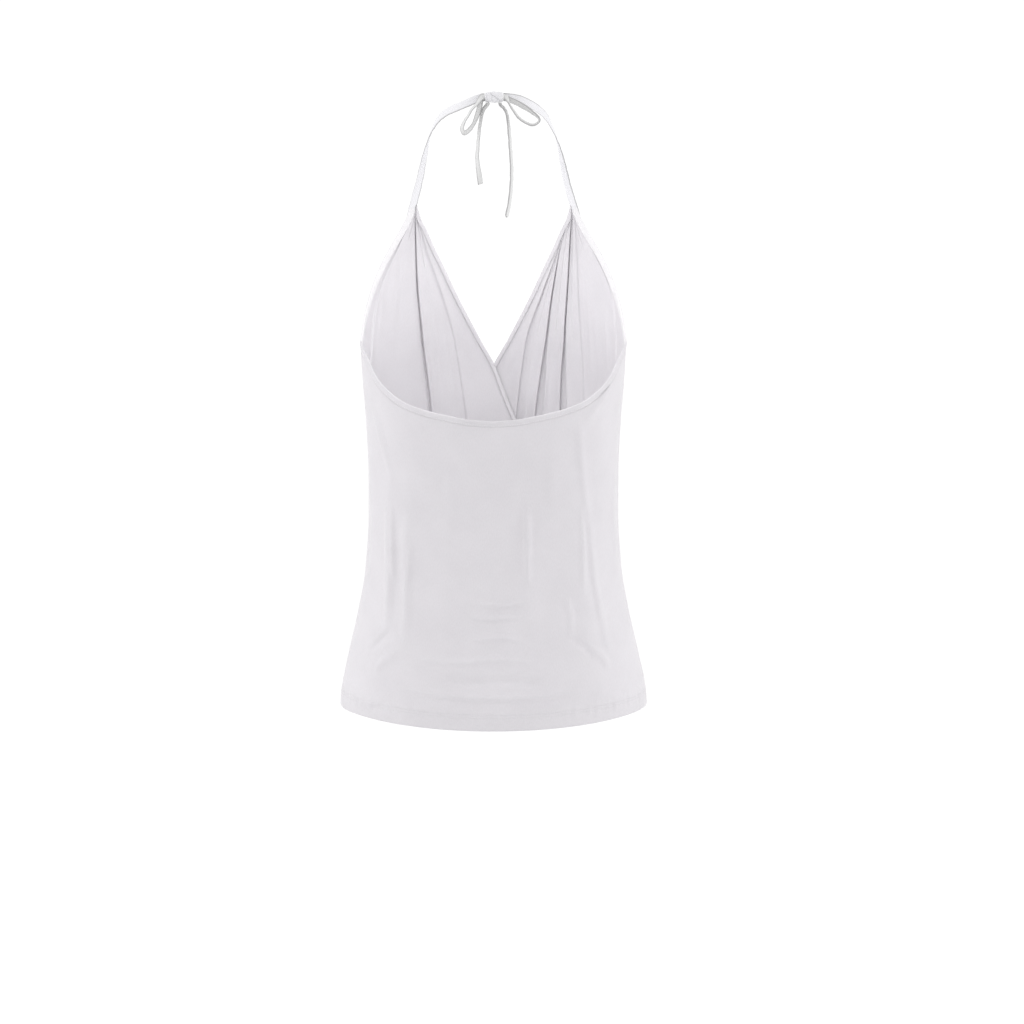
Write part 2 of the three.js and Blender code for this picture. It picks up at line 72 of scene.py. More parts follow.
camera_data = bpy.data.cameras.new("camera")
camera_data.lens = CAMERA_LENS
camera_data.sensor_width = CAMERA_SENSOR
camera_data.clip_end = CAMERA_REACH
camera = place_object("camera", camera_data)
camera.location = CAMERA_PLACE
camera.rotation_euler = (math.radians(90 - CAMERA_DOWN), 0, math.pi)
bpy.context.scene.camera = camera
print("camera stands", round(CAMERA_PLACE.length, 2), "m from the nape")

# %% [markdown]
# ## The cloth's finishes
# The cloth is a white crepe-backed satin jersey with a faint lavender cast. Its sheen is
# soft, and a fine slanting grain shows when light rakes across it. Noise stretched along
# one direction of the piece's own UV map, which is laid out in metres of cloth, gives that
# grain its true size, and wider noise makes the colour slightly uneven, as dyed jersey is.
# The binding is the same jersey folded to several layers, so it looks denser and brighter.

# %% Build the materials
GRAIN_TURN = math.radians(28)
GRAIN_ACROSS = 950
GRAIN_ALONG = 300
KNIT_SCALE = 2600
CLOUD_SCALE = 26
STREAK_SHARE = 0.6
GLOSS_SPREAD = 0.07
# Painted shade: the grey that a strip's edges are darkened towards, for the shade where its face
# turns away
PAINTED_EDGE_SHADE = (0.34, 0.335, 0.34, 1)


def fill_in(tree, node, *values, **sockets):
    """Give a node's sockets, in order or by name, a value or a link."""
    named = [(name.replace("_", " "), value) for name, value in sockets.items()]
    for key, value in [*enumerate(values), *named]:
        if isinstance(value, bpy.types.NodeSocket):
            tree.links.new(value, node.inputs[key])
        else:
            node.inputs[key].default_value = value
    return node


def add_node(tree, kind, *values, operation=None, data_type=None, **sockets):
    """Add a node and fill in its sockets."""
    node = tree.nodes.new(kind)
    if operation:
        node.operation = operation
    if data_type:
        node.data_type = data_type
    return fill_in(tree, node, *values, **sockets)


def calculate(tree, operation, *values):
    """The result of a Math node."""
    return add_node(tree, "ShaderNodeMath", *values, operation=operation).outputs[0]


def grain_noise(tree, source, scale, detail):
    """Noise on the cloth's own map, stretched by a Mapping node."""
    mapping = add_node(tree, "ShaderNodeMapping", Vector=source, Scale=scale,
                       Rotation=(0, 0, GRAIN_TURN))
    return add_node(tree, "ShaderNodeTexNoise", Vector=mapping.outputs["Vector"], Scale=1.0,
                    Detail=detail, Roughness=0.55).outputs["Fac"]


def blend_colours(tree, factor, first, second):
    """Blend two colours by a factor socket."""
    return add_node(tree, "ShaderNodeMix", data_type="RGBA", Factor=factor, A=first,
                    B=second).outputs["Result"]


def paint_edge_shade(tree, source, tone, start, end):
    """Paint shade on a folded strip's own edges, where its face turns away from the light."""
    split = add_node(tree, "ShaderNodeSeparateXYZ", source)
    aside = calculate(tree, "ABSOLUTE", split.outputs["X"])
    turned = add_node(tree, "ShaderNodeMapRange", Value=aside, From_Min=start, From_Max=end)
    return blend_colours(tree, turned.outputs["Result"], tone, PAINTED_EDGE_SHADE)


def new_material(name):
    """A material, its node tree and its main shader."""
    material = bpy.data.materials.new(name)
    material.use_nodes = True
    return material, material.node_tree, material.node_tree.nodes["Principled BSDF"]


def jersey_material(name, dark, light, roughness, sheen, depth, through, edge=None):
    """Satin jersey: slanting grain, fine knit, uneven colour, and light passing through it."""
    material, tree, shader = new_material(name)
    cloth_map = add_node(tree, "ShaderNodeUVMap")
    cloth_map.uv_map = "cloth"
    source = cloth_map.outputs["UV"]
    streaks = grain_noise(tree, source, (GRAIN_ACROSS, GRAIN_ALONG, 1), 3)
    knit = grain_noise(tree, source, (KNIT_SCALE, KNIT_SCALE, 1), 1)
    clouds = grain_noise(tree, source, (CLOUD_SCALE, CLOUD_SCALE, 1), 2)
    cloudy = calculate(tree, "MULTIPLY", clouds, 1 - STREAK_SHARE)
    uneven = calculate(tree, "MULTIPLY_ADD", streaks, STREAK_SHARE, cloudy)
    tone = blend_colours(tree, uneven, (*dark, 1), (*light, 1))
    # Painted shade along the strip's two edges, set by the place across the strip
    if edge:
        tone = paint_edge_shade(tree, source, tone, *edge)
    gloss = add_node(tree, "ShaderNodeMapRange", Value=streaks,
                     To_Min=roughness - GLOSS_SPREAD, To_Max=roughness + GLOSS_SPREAD)
    bump = add_node(tree, "ShaderNodeBump", Strength=0.5, Distance=depth,
                    Height=calculate(tree, "ADD", streaks, knit)).outputs["Normal"]
    fill_in(tree, shader, Base_Color=tone, Roughness=gloss.outputs["Result"], Normal=bump,
            Sheen_Weight=sheen, Sheen_Roughness=0.45, Specular_IOR_Level=0.35)
    glow = add_node(tree, "ShaderNodeBsdfTranslucent", Color=tone, Normal=bump)
    share = add_node(tree, "ShaderNodeMixShader", through, shader.outputs["BSDF"],
                     glow.outputs["BSDF"])
    fill_in(tree, tree.nodes["Material Output"], Surface=share.outputs["Shader"])
    return material


cloth = jersey_material(
    "satin_jersey", (0.585, 0.566, 0.594), (0.725, 0.708, 0.733), 0.52, 0.4, 0.0003, 0.16)
trim = jersey_material(
    "folded_jersey", (0.66, 0.65, 0.664), (0.73, 0.72, 0.734), 0.5, 0.3, 0.00006, 0.06)
# The straps and the ties get painted shade on their edges: the last pair is where it starts and
# where it is full, in metres out from the strip's middle
strap_cloth = jersey_material(
    "strap_jersey", (0.64, 0.637, 0.66), (0.7, 0.697, 0.718), 0.45, 0.3, 0.00001, 0.05,
    (0.0033, 0.0046))
# The ties and bow loops are the straps' folded jersey painted a darker grey: painted shade, not a
# different cloth
shaded_tie_cloth = jersey_material(
    "tie_jersey_painted_shade", (0.55, 0.55, 0.55), (0.63, 0.63, 0.628), 0.45, 0.25, 0.00001, 0.05,
    (0.0021, 0.0034))


def thread_material():
    """Spun polyester sewing thread, a little glossier than the cloth."""
    material, tree, shader = new_material("sewing_thread")
    place = add_node(tree, "ShaderNodeTexCoord").outputs["Object"]
    twist = add_node(tree, "ShaderNodeTexNoise", Vector=place, Scale=1800.0,
                     Detail=1.0).outputs["Fac"]
    tone = blend_colours(tree, twist, (0.70, 0.69, 0.71, 1), (0.84, 0.83, 0.85, 1))
    bump = add_node(tree, "ShaderNodeBump", Strength=0.4, Distance=0.00005, Height=twist)
    fill_in(tree, shader, Base_Color=tone, Normal=bump.outputs["Normal"], Roughness=0.42,
            Sheen_Weight=0.2)
    return material


thread = thread_material()
print("materials:", [m.name for m in (cloth, trim, strap_cloth, shaded_tie_cloth, thread)])

# %% [markdown]
# ## Smooth lines through a few measured places
# A pattern cutter marks a few points and joins them with a curve. The same is done here:
# a table holds the marks, and a monotone cubic joins them, so that nothing overshoots.

# %% Curves and helpers for meshes


def smooth_table(rows, key, column):
    """Return a function through a table's rows that never overshoots them."""
    ordered = sorted(rows, key=lambda row: row[key])
    x = np.array([row[key] for row in ordered], float)
    y = np.array([row[column] for row in ordered], float)
    gap = np.diff(x)
    slope = np.diff(y) / gap
    before, after = slope[:-1], slope[1:]
    steady = before * after > 0
    total = np.where(steady, before + after, 1)
    inner = np.where(steady, 2 * before * after / total, 0)
    tangent = np.concatenate([slope[:1], inner, slope[-1:]])

    def value(at):
        at = np.clip(at, x[0], x[-1])
        k = np.clip(np.searchsorted(x, at, side="right") - 1, 0, len(gap) - 1)
        t = (at - x[k]) / gap[k]
        rise = y[k + 1] - y[k]
        start = tangent[k] * gap[k]
        end = tangent[k + 1] * gap[k]
        return (y[k] + t * start + t**2 * (3 * rise - 2 * start - end)
                + t**3 * (start + end - 2 * rise))

    return value


def smoothstep(value, low, high):
    """Rise softly from 0 to 1 as the value goes from low to high."""
    t = np.clip((value - low) / (high - low), 0, 1)
    return t * t * (3 - 2 * t)


def bell(value, middle, width):
    """A smooth hump that is 1 at the middle."""
    return np.exp(-((value - middle) / width) ** 2)


def run_along(line):
    """How far along a line each of its points lies."""
    return np.concatenate([[0], np.cumsum(np.linalg.norm(np.diff(line, axis=0), axis=1))])


def waver(at, seed, *waves):
    """A smooth uneven wave: the sum of a few sines of (length, height)."""
    draw = np.random.default_rng(seed)
    total = 0
    for length, height in waves:
        phase = draw.uniform(0, 2 * math.pi)
        total = total + height * np.sin(2 * math.pi * at / length + phase)
    return total


def unit(vectors):
    """Vectors of length one."""
    length = np.linalg.norm(vectors, axis=-1, keepdims=True)
    return vectors / np.maximum(length, 1e-9)


def make_piece(name, points, faces, uv, material, node):
    """Make a mesh object from points in millimetres, hang it from the root, and hide the CAD node
    it replaces.
    """
    mesh = bpy.data.meshes.new(name)
    mesh.from_pydata((np.asarray(points) * MM).tolist(), [], faces)
    layer = mesh.uv_layers.new(name="cloth")
    corners = np.empty(len(mesh.loops), dtype=np.int32)
    mesh.loops.foreach_get("vertex_index", corners)
    layer.data.foreach_set("uv", (np.asarray(uv)[corners] * MM).astype(np.float32).ravel())
    mesh.materials.append(material)
    mesh.shade_smooth()
    piece = place_object(name, mesh)
    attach(piece, "root")
    if node:
        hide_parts(node)
    return piece


# %% [markdown]
# ## The tie ends
# The two ends that hang from the knot are the only loose cords. Each is the folded binding
# itself, six millimetres wide. The left one was cut off on the slant, and the right one has
# its end turned in. A ribbon is drawn along its middle line, and its section, a flattened
# ring of points, is carried along that line and turned about it by listed angles.

# %% Lay a ribbon along its line
TIE_WIDTH = 6.0
TIE_DEPTH = 1.6
RING_SIDES = 20
LINE_STEPS = 6
# How much of a strip's end is rounded off, and how much of it a slanting cut pulls along
ROUND_RUN = 2.6
CUT_RUN = 6
# Where a strap starts under its armhole binding, it is thinner, narrower and sunk inwards
SUNK_THINNER = 0.5
SUNK_NARROWER = 0.35
SUNK_INWARDS = 1.1


def smooth_line(places, steps):
    """A centripetal Catmull-Rom line through the places, and its tangents."""
    places = np.asarray(places, float)
    padded = np.vstack([2 * places[0] - places[1], places, 2 * places[-1] - places[-2]])
    line, tangents = [], []
    for k in range(len(places) - 1):
        p0, p1, p2, p3 = padded[k:k + 4]
        d0, d1, d2 = (math.sqrt(np.linalg.norm(b - a)) for a, b in
                      ((p0, p1), (p1, p2), (p2, p3)))
        m1 = d1 * ((p1 - p0) / d0 - (p2 - p0) / (d0 + d1) + (p2 - p1) / d1)
        m2 = d1 * ((p2 - p1) / d1 - (p3 - p1) / (d1 + d2) + (p3 - p2) / d2)
        c2 = 3 * (p2 - p1) - 2 * m1 - m2
        c3 = 2 * (p1 - p2) + m1 + m2
        last = k == len(places) - 2
        for i in range(steps + last):
            t = i / steps
            line.append(p1 + m1 * t + c2 * t * t + c3 * t**3)
            tangents.append(m1 + 2 * c2 * t + 3 * c3 * t * t)
    return np.array(line), unit(np.array(tangents))


def ribbon_frame(rows, steps=LINE_STEPS):
    """A ribbon's middle line, with its directions along, across and out of its face."""
    line, along = smooth_line([row[:3] for row in rows], steps)
    marks = np.arange(len(line)) / steps
    index = np.arange(len(rows))
    face = np.radians(np.interp(marks, index, [row[3] for row in rows]))
    turn = np.radians(np.interp(marks, index, [row[4] for row in rows]))
    out = np.stack([np.sin(face), -np.cos(face), 0 * face], axis=1)
    out = unit(out - (out * along).sum(1, keepdims=True) * along)
    side = np.cross(along, out)
    out = out * np.cos(turn)[:, None] + side * np.sin(turn)[:, None]
    return line, along, np.cross(along, out), out


def flat_ring(sides, corner=0.42):
    """A flattened ring: places across and through a folded strip, each from -1 to 1."""
    angle = 2 * math.pi * np.arange(sides) / sides
    across = np.sign(np.cos(angle)) * np.abs(np.cos(angle)) ** corner
    through = np.sign(np.sin(angle)) * np.abs(np.sin(angle)) ** 0.7
    return across, through


def tube_faces(rings, sides):
    """The faces of a closed tube through rings of points, with its two ends."""
    faces = []
    for i in range(rings - 1):
        for j in range(sides):
            a, b = i * sides + j, i * sides + (j + 1) % sides
            faces.append((a, a + sides, b + sides, b))
    end = (rings - 1) * sides
    faces.append(tuple(range(sides)))
    faces.append(tuple(end + j for j in reversed(range(sides))))
    return faces


def ribbon(name, rows, width, node, seed, material, cut=0.0, rounded=False, seam_side=1,
           sunk=0.0):
    """A folded strip along a line, with its seam pressed to one side."""
    line, along, side, out = ribbon_frame(rows)
    run = run_along(line)
    across, through = flat_ring(RING_SIDES)
    half = width / 2 * (1 + waver(run, seed, (23, 0.025), (9, 0.02)))
    if rounded:
        past = np.clip(run - run[-1] + ROUND_RUN, 0, ROUND_RUN)
        half = half * np.sqrt(np.clip(1 - (past / 2.7)**2, 0.02, 1))
    crown = 1 + 0.12 * (1 - across**2)
    seam = 1 - 0.28 * bell(across * seam_side, 0.62, 0.1)
    depth = TIE_DEPTH / 2 * (1 + waver(run, seed + 1, (17, 0.06), (6.5, 0.05)))
    if sunk:
        start = 1 - smoothstep(run, 0, sunk)
        depth = depth * (1 - SUNK_THINNER * start)
        half = half * (1 - SUNK_NARROWER * start)
        line = line - SUNK_INWARDS * start[:, None] * out
    points = (line[:, None] + half[:, None, None] * across[None, :, None] * side[:, None]
              + depth[:, None, None] * (through * crown * seam)[None, :, None] * out[:, None])
    wrinkle = waver(run, seed + 2, (14, 0.16), (5.2, 0.1))[:, None, None]
    points = points + wrinkle * (across**2)[None, :, None] * out[:, None]
    last = np.clip((run - run[-1] + CUT_RUN) / CUT_RUN, 0, 1)[:, None, None]
    points = points + cut * last * across[None, :, None] * along[:, None]
    uv = np.stack([np.tile(across * width / 2 + through * TIE_DEPTH / 2, (len(line), 1)),
                   np.tile(run[:, None], (1, RING_SIDES))], axis=-1)
    piece = make_piece(name, points.reshape(-1, 3), tube_faces(len(line), RING_SIDES),
                       uv.reshape(-1, 2), material, node)
    return piece, line


# Rows are x, y, z and the strip's turn about its own line, from facing straight back
TIE_LEFT = [
    (5.6, 5.9, -7.3, 50), (5.8, 6, -9.4, 50), (9.8, 6.4, -14, 54), (12.6, 6.6, -24, 60),
    (14.6, 7, -36.7, 62), (16, 7.4, -52.5, 62), (16.8, 7.6, -66.2, 55), (15.4, 7.8, -78.9, 35),
    (13.2, 8, -93.7, 10)]
TIE_RIGHT = [
    (-7.4, 5.9, -7.4, -60), (-7.7, 6, -9.4, -60), (-12, 6.6, -13.4, -62), (-15.2, 7, -21, -64),
    (-17.2, 7.4, -36.7, -60), (-18.8, 7.6, -57.8, -58), (-20, 7.8, -78.9, -56),
    (-19.3, 8, -97.9, -56), (-17.5, 8, -113.8, -54), (-14.5, 8, -129.2, -50)]


def facing_back(rows):
    """Rows with the way the strip faces in plan put before its turn."""
    return [(*row[:3], 180, row[3]) for row in rows]


for name, rows, finish in (
        ("tie_end_left", facing_back(TIE_LEFT), {"cut": 0.55}),
        ("tie_end_right", facing_back(TIE_RIGHT), {"rounded": True, "seam_side": -1})):
    tie, middle = ribbon(f"{name}_strip", rows, TIE_WIDTH, name, len(rows), shaded_tie_cloth, **finish)

# %% [markdown]
# ## The straps, the bow's loops and its knot
# The armhole bindings run on over the shoulders as two flat straps to the nape. Each bow
# loop is a ribbon out and back. In the picture one strand of a loop is seen on its edge and
# the other on its face, so the angles are given one by one. The knot is modelled, not simulated:
# a barrel of rings, dented by creases along lines drawn on it, is quick and repeats exactly.

# %% Make the straps and loops
STRAP_WIDTH = 8.5
STRAP_SUNK = 13
# The straps' rows are x, y, z and the way they face in plan, and the loops' are as the ties'
STRAP_LEFT = [
    (94.4, -108.8, -125.9, 14), (89.6, -105.2, -114, 16), (85.9, -101.8, -100.8, 20),
    (81.7, -98, -85.5, 30), (77.9, -92.5, -68.2, 42), (73.7, -83, -51.2, 58),
    (69.6, -71, -38.1, 74), (64.1, -57, -27.5, 90), (57.7, -41, -20.3, 108),
    (49.7, -27, -15.2, 126), (40.9, -16, -11.9, 142), (31.1, -8, -8.4, 158),
    (21.3, -2, -4.5, 170), (12.6, 1.4, -1.6, 180), (8.8, 1.6, -1.2, 180)]
STRAP_RIGHT = [
    (-94.1, -108.8, -125.9, -14), (-88.9, -105.2, -114, -16), (-84.6, -101.8, -100.8, -20),
    (-80.4, -98, -85.5, -30), (-76.6, -92.5, -68.2, -42), (-72.4, -83, -51.2, -58),
    (-68, -71, -38.1, -74), (-62.8, -57, -27.5, -90), (-57.2, -41, -19.2, -108),
    (-50.5, -27, -13.6, -126), (-41.8, -16, -8.4, -142), (-32.1, -8, -4.1, -158),
    (-22.5, -2, -1.8, -170), (-15, 1.4, -1.2, -180), (-11.2, 1.6, -1.2, -180)]
LOOP_LEFT = [
    (8.9, 8.8, -0.8, 0), (11.2, 8.8, -0.8, 10), (14, 10, -4.2, 40), (17, 11.6, -9, 62),
    (22.1, 13, -14.6, 70), (26.1, 13.4, -21.1, 72), (30.1, 13.2, -27.6, 66),
    (33, 12.4, -35, 52), (30.6, 11.6, -39.6, 45), (25.7, 10.6, -37, 52), (20.6, 9.6, -30, 60),
    (16.8, 8.4, -21, 40), (14.2, 6.8, -12, 25), (12.9, 5.5, -5.4, 10), (11.1, 5.2, -2.8, 0),
    (8.9, 5.2, -2.8, 0)]
LOOP_RIGHT = [
    (-11.3, 8.8, -1.6, 0), (-13.4, 8.8, -1.6, -20), (-17.1, 10.6, -8.6, -80),
    (-21.1, 12, -14.7, -68), (-26, 13, -22, -66), (-31.6, 13.2, -26.8, -66),
    (-37.3, 13.2, -30, -66), (-43, 12.6, -31.2, -66), (-47.9, 11.6, -29, -70),
    (-49.6, 10.6, -25.7, -74), (-47.2, 9.6, -21.9, -70), (-41.4, 8.6, -17.3, -50),
    (-34.9, 7.6, -12.8, -35), (-26.7, 6.6, -8.1, -22), (-18.2, 5.6, -4.4, -10),
    (-13.6, 5.2, -2.8, 0), (-11.3, 5.2, -2.8, 0)]


def unturned(rows):
    """Rows of a strip that isn't turned about its own line."""
    return [(*row, 0) for row in rows]


for name, rows, width, material, side, sunk in (
        ("strap_left", unturned(STRAP_LEFT), STRAP_WIDTH, strap_cloth, 1, STRAP_SUNK),
        ("strap_right", unturned(STRAP_RIGHT), STRAP_WIDTH, strap_cloth, -1, STRAP_SUNK),
        ("bow_loop_left", facing_back(LOOP_LEFT), TIE_WIDTH, shaded_tie_cloth, 1, 0),
        ("bow_loop_right", facing_back(LOOP_RIGHT), TIE_WIDTH, shaded_tie_cloth, -1, 0)):
    strip, _ = ribbon(f"{name}_strip", rows, width, name, len(name), material,
                      seam_side=side, sunk=sunk)
    print(name, "has", len(strip.data.polygons), "faces")

# %% Tie the knot
KNOT_MIDDLE = np.array([-1.2, 5.9, -1.4])
KNOT_HALF = 9.6
KNOT_DEPTH = 5.6
KNOT_HEIGHT = 5.8
KNOT_RINGS = 56
KNOT_SIDES = 64
KNOT_SCALE = [0.84, 0.94, 0.98, 0.97, 1.06, 1.06, 0.97, 0.98, 0.94, 0.84]
# Each crease of the knot: where it starts and ends across its back, its width and depth
KNOT_CREASES = [
    ((6.7, 5.5), (6.1, -7.5), 0.7, 1.2),
    ((1.6, 5.5), (2.2, 1.7), 0.6, 1.1),
    ((2.2, 1.7), (-7.5, -5.6), 0.75, 1.5),
    ((1.3, 0.5), (0.6, -7.5), 0.55, 0.8),
    ((4.4, 4.6), (3.6, -4.0), 0.45, 0.3),
    ((-3.2, 4.4), (-8.6, 1.2), 0.5, 0.5),
    ((-5.4, -0.4), (-9.6, -1.9), 0.45, 0.4),
    ((8.2, 3.2), (8.9, -3.6), 0.5, 0.4)]


def segment_distance(x, z, start, end):
    """How far places are from a straight line between two points, and how far along it."""
    start, end = np.array(start, float), np.array(end, float)
    way = end - start
    t = ((x - start[0]) * way[0] + (z - start[1]) * way[1]) / (way @ way)
    t = np.clip(t, 0, 1)
    return np.hypot(x - start[0] - t * way[0], z - start[1] - t * way[1]), t


def tie_knot():
    """A small barrel across the nape, dented where its turns of ribbon meet."""
    offset = np.linspace(-1, 1, KNOT_RINGS)
    scale = np.interp(offset, np.linspace(-1, 1, len(KNOT_SCALE)), KNOT_SCALE)
    scale = scale * np.clip(1 - np.clip(np.abs(offset) - 0.9, 0, 1)**2 * 18, 0.5, 1)
    angle = 2 * math.pi * np.arange(KNOT_SIDES) / KNOT_SIDES
    y = np.sign(np.cos(angle)) * np.abs(np.cos(angle)) ** 0.8
    z = np.sign(np.sin(angle)) * np.abs(np.sin(angle)) ** 0.8
    x = KNOT_MIDDLE[0] + offset[:, None] * KNOT_HALF + 0 * angle
    ys = KNOT_DEPTH * scale[:, None] * y
    zs = KNOT_HEIGHT * scale[:, None] * z
    dent = np.zeros_like(x)
    for start, end, width, depth in KNOT_CREASES:
        away, t = segment_distance(x, zs + KNOT_MIDDLE[2], start, end)
        dent = np.maximum(dent, depth * bell(away, 0, width))
    shrink = 1 - dent * smoothstep(y[None, :], -0.7, 0.4) / KNOT_DEPTH
    lumps = 1 + waver(x + 3 * np.sin(angle), 5, (11, 0.02), (5.1, 0.015))
    points = np.stack([x, KNOT_MIDDLE[1] + ys * shrink * lumps,
                       KNOT_MIDDLE[2] + zs * (0.35 + 0.65 * shrink) * lumps], axis=-1)
    uv = np.stack([x * 0.3, np.tile(angle * KNOT_HEIGHT, (KNOT_RINGS, 1))], axis=-1)
    faces = [tuple(reversed(face)) for face in tube_faces(KNOT_RINGS, KNOT_SIDES)]
    return make_piece("knot_wrap", points.reshape(-1, 3), faces,
                      uv.reshape(-1, 2), strap_cloth, "knot")


knot = tie_knot()
print("knot spans", [round(v * 1000, 1) for v in knot.dimensions], "mm")

# %% [markdown]
# ## The form that the cloth lies on
# The garment keeps the hollow of a general figure. At each height the body is an oval that
# is fuller at its quarters. These are the solids' own tables, so that each visible piece
# lies in the space of the solid that it replaces. A place on the cloth is given by its turn
# round the body, its height, and how far it stands off the form.

# %% The body and the garment's edges
AXIS_Y = -49
FULLNESS = 0.18
FRONT = -1
BACK = 1
SIDE_TURN = 90
HEM_SIDE = -661.5
HEM_DROP = {FRONT: 10, BACK: 14.5}
SEAM_GAP = 0.06
BINDING_WIDTH = 6.5
# Rows are height, half width, depth in front and depth behind
BODY = [
    (-98, 160, 58, 74), (-118, 158, 66, 78), (-188, 153, 94, 84), (-261, 145.5, 116, 88),
    (-298, 143.5, 120, 87), (-348, 139.5, 112, 84), (-408, 137, 101, 79), (-448, 137, 97, 78),
    (-508, 140.5, 98, 83), (-558, 149, 102, 90), (-608, 160.5, 105, 98), (-648, 168, 107, 103),
    (-688, 171, 108, 106)]
# Rows are height and turn, from the middle front or the middle back
ARMHOLE = [
    (-108, 35), (-114, 35.8), (-121, 36.9), (-129.4, 38.9), (-140.5, 42), (-151.5, 45.6),
    (-173.7, 53.3), (-195.8, 60.8), (-219, 69.2), (-239.8, 77.5), (-251, 82.2), (-262, 90),
    (-268, 98)]
BACK_NECKLINE = [
    (-345.6, 0), (-344, 10), (-339.6, 20.5), (-334, 31.5), (-325.5, 43), (-313.5, 53),
    (-299, 62), (-285.5, 68), (-276.5, 73), (-269.5, 80), (-262, 90), (-255, 98)]
V_EDGE = [
    (-115, 32.6), (-129, 31.1), (-140, 28.9), (-162, 25.2), (-185, 21), (-218, 15.3),
    (-241, 10.9), (-265, 6), (-292, 0), (-320, -4.4), (-352, -9.9), (-428, -27), (-508, -48),
    (-578, -70), (-622, -85), (-634, -90)]

half_width = smooth_table(BODY, 0, 1)
depth_of = {FRONT: smooth_table(BODY, 0, 2), BACK: smooth_table(BODY, 0, 3)}
v_edge_turn = smooth_table(V_EDGE, 0, 1)


def body_point(turn, z, side):
    """Places on the body's oval at turns in radians and heights."""
    s = np.sin(turn)
    y = AXIS_Y + side * depth_of[side](z) * np.cos(turn) * (1 + FULLNESS * s * s)
    return np.stack(np.broadcast_arrays(half_width(z) * s, y, z), axis=-1)


def body_frame(turn, z, side):
    """Places on the body, their outward normals, and how fast they move with the turn."""
    small = 0.01
    across = body_point(turn + small, z, side) - body_point(turn - small, z, side)
    up = body_point(turn, z + 1, side) - body_point(turn, z - 1, side)
    normal = unit(np.cross(across, up)) * -side
    return body_point(turn, z, side), normal, np.linalg.norm(across, axis=-1) / (2 * small)


def inset_edge(edge, side, distance):
    """An edge moved across the cloth by a distance, away from the opening."""
    moved = []
    for k, (z, turn) in enumerate(edge):
        z0, turn0 = edge[max(k - 1, 0)]
        z1, turn1 = edge[min(k + 1, len(edge) - 1)]
        speed = float(body_frame(math.radians(turn), z, side)[2]) * math.radians(1)
        across, rise = (turn1 - turn0) * speed, z1 - z0
        length = math.hypot(across, rise)
        moved.append((z - across * distance / length, turn + rise * distance / length / speed))
    return moved


def seam_turn(z, side):
    """The turn at which a piece stops short of the side seam's plane."""
    return np.arccos(SEAM_GAP / 2 / (depth_of[side](z) * (1 + FULLNESS)))


def hem_height(turn, side):
    """The height of the finished hem at a turn."""
    return HEM_SIDE - HEM_DROP[side] * np.cos(turn) ** 2


print("body at the waist is", float(2 * half_width(-448)), "mm wide")

# %% [markdown]
# ## Cloth as a shell
# Each panel is one sheet: a grid of places on its right side, the same grid moved in by the
# cloth's thickness, and a rim between the two. The grid runs on past the hem, turns back
# inside and stops at the hem's raw edge, as the real turning does, so the double layer and
# the rounded fold are real geometry. Soft creases are drawn on the panel as short lines,
# each with a height and a width to either side, because cloth falls off more steeply on one
# side of a crease than on the other.

# %% Shells and creases
CLOTH_THICK = 0.5
FACE_LIFT = -0.3
FOLD_RADIUS = 0.55
TURNED_LIFT = FACE_LIFT - 2 * FOLD_RADIUS


def grid_normals(grid):
    """The right-side normals of a grid of places, from its neighbours."""
    across = np.gradient(grid, axis=1)
    down = np.gradient(grid, axis=0)
    return unit(np.cross(down, across))


def shell(name, grid, uv, material, node, facing):
    """A closed thin sheet from a grid of places on its right side."""
    rows, columns = grid.shape[:2]
    inner = grid - facing * CLOTH_THICK * grid_normals(grid)
    points = np.concatenate([grid.reshape(-1, 3), inner.reshape(-1, 3)])
    size = rows * columns
    order = 1 if facing > 0 else -1
    faces = []

    def quad(*corner):
        faces.append(corner[::order])

    for i in range(rows - 1):
        for j in range(columns - 1):
            a = i * columns + j
            quad(a, a + columns, a + columns + 1, a + 1)
            quad(size + a, size + a + 1, size + a + columns + 1, size + a + columns)
    for j in range(columns - 1):
        last = (rows - 1) * columns + j
        quad(j, j + 1, size + j + 1, size + j)
        quad(last, size + last, size + last + 1, last + 1)
    for i in range(rows - 1):
        a, b = i * columns, (i + 1) * columns - 1
        quad(a, size + a, size + a + columns, a + columns)
        quad(b, b + columns, size + b + columns, size + b)
    uv = uv.reshape(-1, 2)
    return make_piece(name, points, faces, np.concatenate([uv, uv]), material, node)


def crease_field(turn, z, side, creases):
    """How far soft creases move the cloth at each place."""
    reach = half_width(z)
    total = np.zeros(np.broadcast(turn, z).shape)
    for line, height, left, right in creases:
        places = np.array([(t, h, 0) for t, h in line], float)
        fine = smooth_line(places, 6)[0] if len(line) > 2 else places
        best = np.full(total.shape, 1e9)
        signed = np.zeros(total.shape)
        share = np.zeros(total.shape)
        spans = len(fine) - 1
        for k in range(spans):
            (t0, z0, _), (t1, z1, _) = fine[k], fine[k + 1]
            x = turn * reach
            x0, x1 = math.radians(t0) * reach, math.radians(t1) * reach
            wx, wz = x1 - x0, z1 - z0
            t = np.clip(((x - x0) * wx + (z - z0) * wz) / (wx * wx + wz * wz), 0, 1)
            dx, dz = x - x0 - t * wx, z - z0 - t * wz
            away = np.hypot(dx, dz)
            closer = away < best
            best = np.where(closer, away, best)
            signed = np.where(closer, np.sign(wx * dz - wz * dx) * away, signed)
            share = np.where(closer, (k + t) / spans, share)
        width = np.where(signed > 0, left, right)
        fade = np.sin(math.pi * np.clip(share, 0.0, 1.0)) ** 0.7
        total = total + height * fade * bell(best, 0, width)
    return total


def fold_under(near):
    """Places across a turned edge: distance in from the fold, and the lift of the face."""
    angle = np.radians([180, 150, 120, 90, 60, 30])
    around = [(FOLD_RADIUS * (1 - math.sin(a)), FACE_LIFT - FOLD_RADIUS * (1 - math.cos(a)))
              for a in angle]
    return [(distance, TURNED_LIFT) for distance in near] + around


